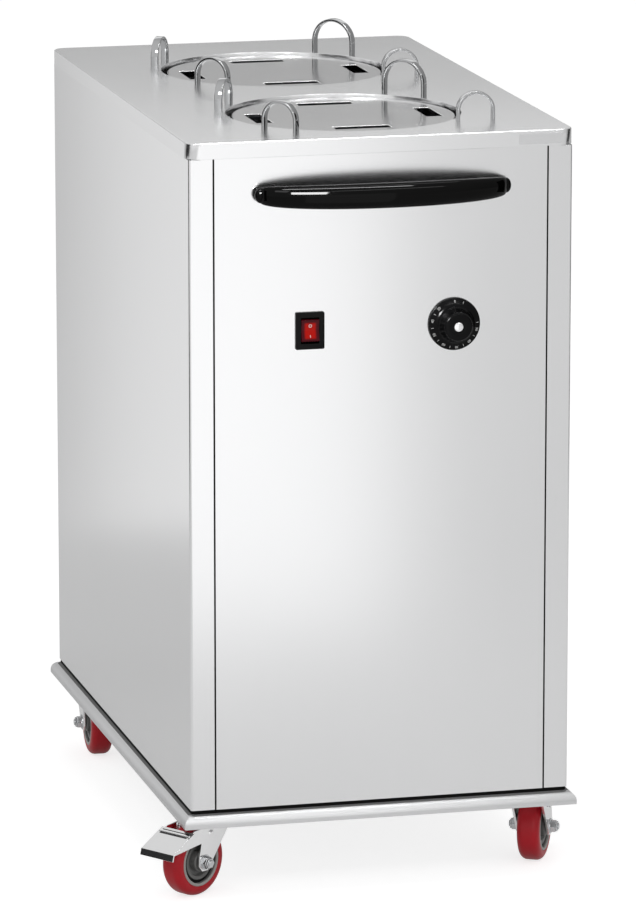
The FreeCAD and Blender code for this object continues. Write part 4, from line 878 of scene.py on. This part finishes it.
# black that paints the shade under the pedal's lip and in its pressed lines
black_pedal_shade = moulded("black_pedal_shade", (0.02, 0.02, 0.021), 0.5, 0.15, 0.3)
chrome = metal("chrome_plate", (0.94, 0.942, 0.946), (90, 90, 90), 0.11, 0.1, 0.06, 0.02)
zinc_bright = metal("bright_zinc", (0.66, 0.67, 0.68), (300, 300, 300), 0.2, 0.15, 0.12, 0.03)
dress("caster_plates", chrome, 0.4 * MM)
dress("caster_bolts", zinc_bright, 0.3 * MM)
for corner in CORNERS:
    wheel(corner)
for corner in CORNERS:
    dress("caster_fork_" + corner, chrome, 0.7 * MM, 3)
    dress("caster_axle_" + corner, zinc_bright, 0.35 * MM)
    axle_ends(corner)
for corner in BRAKED:
    dress("brake_pedal_" + corner, chrome, 0.4 * MM)
    pedal_details(corner)


# ------------------------------------------------------------------ bow handle
# One black glossy moulding, thick in the middle and slim at its ends, which bows away from
# the panel. Two screws from inside the panel hold it by its feet.
HANDLE_STATIONS = 97
HANDLE_SIDES = 40
HANDLE_EDGE_ANGLE = math.radians(86)
HANDLE_THICK = 20.0 * MM
END_ROUND = 7.0 * MM
# how much of the end's outline is left, and how far along the rounding that is
END_STEPS = ((0.96, 0.28), (0.87, 0.5), (0.72, 0.7), (0.5, 0.87), (0.2, 1.0))
HANDLE_SCREW_X = 128.0 * MM
HANDLE_FOOT = ((2.9 * MM, 0), (9 * MM, 0), (8.2 * MM, 16 * MM), (2.9 * MM, 16 * MM))
HANDLE_AIM = (0.013, -0.42, 0.877)


def bow_handle():
    """The bowed grip with its rounded ends, and the two feet under it."""
    low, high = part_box("front_handle")
    panel_y = high.y
    half = (high.x - low.x) / 2
    middle_x = (high.x + low.x) / 2
    middle_z = (high.z + low.z) / 2
    tall = (high.z - low.z) / 2
    reach = high.y - low.y
    depth = HANDLE_THICK / 2
    bow = reach - 2 * depth
    last = HANDLE_EDGE_ANGLE
    rings = []
    for i in range(HANDLE_STATIONS):
        angle = last * (2 * i / (HANDLE_STATIONS - 1) - 1)
        share = math.cos(angle)
        thick = 0.5 + 0.5 * share ** 0.5
        high_share = 0.52 + 0.48 * share ** 0.6
        centre_y = panel_y - depth * thick - bow * share ** 1.1
        x = middle_x + (half - END_ROUND) * math.sin(angle) / math.sin(last)
        ring = []
        for k in range(HANDLE_SIDES):
            turn = 2 * math.pi * k / HANDLE_SIDES
            c, s = math.cos(turn), math.sin(turn)
            y = centre_y + depth * thick * math.copysign(abs(c) ** 0.85, c)
            z = middle_z + tall * high_share * math.copysign(abs(s) ** 0.9, s)
            ring.append(Vector((x, y, z)))
        rings.append(ring)
    first, last_ring = rings[0], rings[-1]
    for share, step in END_STEPS:
        for ring, outward in ((first, -1), (last_ring, 1)):
            middle = sum(ring, Vector()) / HANDLE_SIDES
            shift = Vector((outward * END_ROUND * step, 0, 0))
            cap = [middle + (v - middle) * share + shift for v in ring]
            if outward < 0:
                rings.insert(0, cap)
            else:
                rings.append(cap)
    verts, faces = sweep(rings)
    grip = make_object("bow_handle", verts, faces, black_gloss, 60)
    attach(grip, "cabinet")
    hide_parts("front_handle")
    for side, label in ((-1, "left"), (1, "right")):
        place = (middle_x + side * HANDLE_SCREW_X, panel_y, middle_z)
        foot = turned("handle_foot_" + label, HANDLE_FOOT, place, (0, -1, 0), black_gloss, 48)
        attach(foot, "cabinet")
    return grip


def add_gloss_lamp(name, place, target, width, height, level, shiny):
    """A soft box whose light is kept to a glossy black piece, for its white streaks."""
    add_lamp(name, place, target, width, height, level)
    group = bpy.data.collections.new(name + "_pieces")
    group.objects.link(shiny)
    bpy.data.objects[name].light_linking.receiver_collection = group


black_gloss = moulded("black_gloss", (0.0003, 0.0003, 0.0003), 0.05, 0.02, 0.1, 0.02)
handle = bow_handle()
add_gloss_lamp("lamp_bar_front", (-0.62, -2.35, 1.5), HANDLE_AIM, 0.8, 0.55, 110, handle)
add_gloss_lamp("lamp_bar_over", (-0.12, -1.35, 2.6), HANDLE_AIM, 1.7, 0.2, 60, handle)
dress("handle_screws", zinc_bright, 0.3 * MM)


# ------------------------------------------------------------------ rocker switch
# A black snap-in switch with a lit red rocker. Its two plain marks, a ring for off and a bar
# for on, are printed white on the lens.
LENS_HALF = (8.6 * MM, 11.2 * MM)
LENS_FADE = 3.5 * MM
LENS_EDGE_TONE = (0.085, 0.003, 0.008, 1)
LENS_LIT_TONE = (0.24, 0.002, 0.001, 1)
LENS_GLOW = (0.26, 0.003, 0.0, 1)
RING_Z = 6.0 * MM
RING_OUT = 2.1 * MM
RING_IN = 1.3 * MM
BAR_HALF = 0.35 * MM
BAR_LOW = -8.2 * MM
BAR_HIGH = -5.0 * MM
RAY_START = 20.0 * MM


def lens_material():
    """Red lens that glows softly towards its middle."""
    material = bpy.data.materials.new("red_lens")
    tree = shader_tree(material)
    low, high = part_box("switch_rocker")
    place = add_node(tree, "TexCoord").outputs["Object"]
    local = add_node(tree, "VectorMath", place, (low + high) / 2, operation="SUBTRACT")
    parts = add_node(tree, "SeparateXYZ", local).outputs
    inside = []
    for axis, half in zip("XZ", LENS_HALF):
        size = add_node(tree, "Math", parts[axis], operation="ABSOLUTE")
        inside.append(map_range(tree, size, half, half - LENS_FADE, 0.0, 1.0))
    glow = add_node(tree, "Math", *inside, operation="MULTIPLY")
    speckle = add_node(tree, "TexNoise", Vector=place, Scale=900.0, Detail=2.0)
    dotted = add_node(tree, "Math", speckle, 0.35, 0.75, operation="MULTIPLY_ADD")
    lit = add_node(tree, "Math", glow, dotted, operation="MULTIPLY")
    tone = add_node(tree, "Mix", data_type="RGBA", Factor=lit, A=LENS_EDGE_TONE, B=LENS_LIT_TONE)
    light = add_node(tree, "Mix", data_type="RGBA", Factor=lit, A=(0, 0, 0, 1), B=LENS_GLOW)
    add_node(tree, "OutputMaterial", add_node(
        tree, "BsdfPrincipled", Base_Color=tone.outputs["Result"], Roughness=0.16,
        Specular_IOR_Level=0.12, Emission_Color=light.outputs["Result"], Emission_Strength=1.0))
    return material


def surface_of(obj):
    """The faces of a piece, for rays to meet."""
    mesh = obj.data
    return BVHTree.FromPolygons([v.co for v in mesh.vertices], [p.vertices for p in mesh.polygons])


def printed_mark(name, outlines, thickness, origin, surface, lift, material, body):
    """A thin mark on a surface that faces the front. Each outline is a convex ring of (x, z)."""
    inward = Vector((0, 1, 0))
    verts, faces = [], []
    for outline in outlines:
        first = len(verts)
        count = len(outline)
        for depth in (0.0, thickness):
            for x, z in outline:
                point = origin + Vector((x, 0, z))
                hit = surface.ray_cast(point - inward * RAY_START, inward)[0]
                verts.append((hit or point) - inward * (lift + depth))
        faces.append(tuple(range(first, first + count)))
        faces.append(tuple(range(first + 2 * count - 1, first + count - 1, -1)))
        for i in range(count):
            j = (i + 1) % count
            faces.append((first + j, first + i, first + count + i, first + count + j))
    mark = make_object(name, verts, faces, material)
    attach(mark, body)
    return mark


def ring_outlines(middle_z, outer, inner, steps=20):
    """A flat ring as short straight pieces."""
    pieces = []
    for i in range(steps):
        a0, a1 = 2 * math.pi * i / steps, 2 * math.pi * (i + 1) / steps
        corners = ((inner, a0), (outer, a0), (outer, a1), (inner, a1))
        pieces.append([(r * math.cos(a), middle_z + r * math.sin(a)) for r, a in corners])
    return pieces


black_satin = moulded("black_satin", (0.003, 0.003, 0.0032), 0.3, 0.1, 0.12, 0.1)
white_print = moulded("white_print", (0.80, 0.80, 0.79), 0.45, 0.1, 0.3, 0.0)
dress("switch_housing", black_satin, 0.5 * MM, 3)
dress("switch_rocker", lens_material(), 0.5 * MM, 3)
low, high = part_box("switch_rocker")
rocker_middle = Vector(((low.x + high.x) / 2, low.y, (low.z + high.z) / 2))
rocker_face = surface_of(nodes["switch_rocker"])
off_ring = ring_outlines(RING_Z, RING_OUT, RING_IN)
on_bar = [[(-BAR_HALF, BAR_LOW), (BAR_HALF, BAR_LOW), (BAR_HALF, BAR_HIGH), (-BAR_HALF, BAR_HIGH)]]
for label, outlines in (("mark_off", off_ring), ("mark_on", on_bar)):
    mark = printed_mark(label, outlines, 0.06 * MM, rocker_middle,
                        rocker_face, 0.02 * MM, white_print, "rocker")


# ------------------------------------------------------------------ thermostat
# A black knob with a dial skirt, pushed on the spindle of a thermostat behind the panel. Its
# grip tapers, a steel cap closes its middle, and plain numbers and ticks run round the skirt.
KNOB_R = 32.5 * MM
GRIP_R = 20.5 * MM
KNOB_DEPTH = 24.0 * MM
NUMBER_SIZE = 4.4 * MM
NUMBER_BOLD = 0.07 * MM
NUMBER_R = 28.3 * MM
PRINT_THICK = 0.05 * MM
# each number, and how far clockwise from the top it stands
DIAL_NUMBERS = (("0", 0), ("30", 315), ("40", 280), ("50", 245), ("60", 210), ("70", 175),
                ("80", 140), ("90", 105))
TICKS = [22] + [332.5 - 35 * k for k in range(1, 8)]
POINTER_TURN = 18
# from, to and half the width
TICK_SPAN = (27 * MM, 30 * MM, 0.28 * MM)
POINTER_SPAN = (15.2 * MM, 17.6 * MM, 0.8 * MM)


def thermostat_knob():
    """The knob with its dial skirt, and the steel cap in its middle."""
    low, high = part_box("thermostat_knob")
    back = Vector(((low.x + high.x) / 2, high.y, (low.z + high.z) / 2))
    outward = (0, -1, 0)
    outline = [(3.05 * MM, 0), (KNOB_R - 0.6 * MM, 0), (KNOB_R, 0.6 * MM), (KNOB_R, 1.6 * MM)]
    outline += arc_points((KNOB_R - 1.5 * MM, 1.6 * MM), 1.5 * MM, 0, 80, 5)[1:]
    outline += [(GRIP_R + 5.5 * MM, 4.9 * MM), (GRIP_R + 2.4 * MM, 6.4 * MM)]
    outline += [(GRIP_R + 0.8 * MM, 8.6 * MM)]
    outline += [(GRIP_R, 11.5 * MM), (GRIP_R - 2.6 * MM, KNOB_DEPTH - 4 * MM)]
    outline += arc_points((GRIP_R - 5.8 * MM, KNOB_DEPTH - 3.2 * MM), 3.2 * MM, 0, 90, 6)
    outline += [(6.4 * MM, KNOB_DEPTH - 0.4 * MM), (6.0 * MM, KNOB_DEPTH - 1.6 * MM)]
    outline += [(3.05 * MM, KNOB_DEPTH - 1.6 * MM)]
    knob = turned("dial_knob", outline, back, outward, black_knob, 144, 50)
    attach(knob, "knob")
    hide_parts("thermostat_knob")
    cap = [(0.01 * MM, KNOB_DEPTH - 1.5 * MM), (5.6 * MM, KNOB_DEPTH - 1.5 * MM),
           (5.6 * MM, KNOB_DEPTH - 0.9 * MM), (4.6 * MM, KNOB_DEPTH - 0.3 * MM),
           (2.0 * MM, KNOB_DEPTH - 0.05 * MM), (0.01 * MM, KNOB_DEPTH - 0.02 * MM)]
    button = turned("knob_cap", cap, back, outward, chrome, 48, 50)
    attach(button, "knob")
    return knob, back


def dial_place(turn, radius):
    """Where on the dial a direction and a radius fall. The turn is clockwise from the top."""
    angle = math.radians(90 - turn)
    return radius * math.cos(angle), radius * math.sin(angle)


def dial_bar(name, turn, inner, outer, half_wide):
    """A printed bar along a radius of the dial."""
    ax, az = dial_place(turn, 1.0)
    ring = []
    for r, w in ((inner, -half_wide), (outer, -half_wide), (outer, half_wide), (inner, half_wide)):
        ring.append((ax * r + az * w, az * r - ax * w))
    printed_mark(name, [ring], 0.04 * MM, knob_back, knob_face, 0.03 * MM, dial_print, "knob")


def dial_number(text, turn):
    """A printed number, its feet towards the middle of the dial."""
    curve = bpy.data.curves.new("number_" + text, "FONT")
    curve.body = text
    curve.size = NUMBER_SIZE
    curve.align_x = "CENTER"
    curve.align_y = "CENTER"
    curve.offset = NUMBER_BOLD
    flat = bpy.data.objects.new("number_" + text, curve)
    shape = bpy.data.meshes.new_from_object(flat)
    bpy.data.objects.remove(flat)
    cx, cz = dial_place(turn, NUMBER_R)
    angle = -math.radians(turn)
    c, s = math.cos(angle), math.sin(angle)
    for vert in shape.vertices:
        x, y = vert.co.x, vert.co.y
        away = Vector((cx + x * c - y * s, -KNOB_DEPTH - 5 * MM, cz + x * s + y * c))
        point = knob_back + away
        hit = knob_face.ray_cast(point, Vector((0, 1, 0)))[0]
        vert.co = (hit or point) - Vector((0, PRINT_THICK, 0))
    shape.materials.append(dial_print)
    number = bpy.data.objects.new("dial_number_" + text, shape)
    bpy.context.scene.collection.objects.link(number)
    thick = number.modifiers.new("print", "SOLIDIFY")
    thick.thickness = PRINT_THICK
    thick.offset = 0.0
    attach(number, "knob")


black_knob = moulded("black_knob", (0.0008, 0.0008, 0.0009), 0.17, 0.05, 0.12, 0.05)
dial_print = moulded("dial_print", (0.72, 0.72, 0.71), 0.5, 0.1, 0.3, 0.0)
knob, knob_back = thermostat_knob()
knob_face = surface_of(knob)
add_gloss_lamp("lamp_dial", (-1.5, -2.1, 2.0), (0.104, -0.4, 0.707), 0.8, 0.6, 100, knob)
for text, turn in DIAL_NUMBERS:
    dial_number(text, turn)
for k, turn in enumerate(TICKS):
    dial_bar("dial_tick_%d" % k, turn, *TICK_SPAN)
dial_bar("dial_pointer", POINTER_TURN, *POINTER_SPAN)
dress("thermostat", zinc_bright, 0.3 * MM)


# ------------------------------------------------------------------ cable inlet
# A black nylon gland, moulded in one colour. It passes through a hole low in the rear panel,
# and its two hexagon nuts clamp it there.
dress("cable_inlet", black_satin, 0.3 * MM)
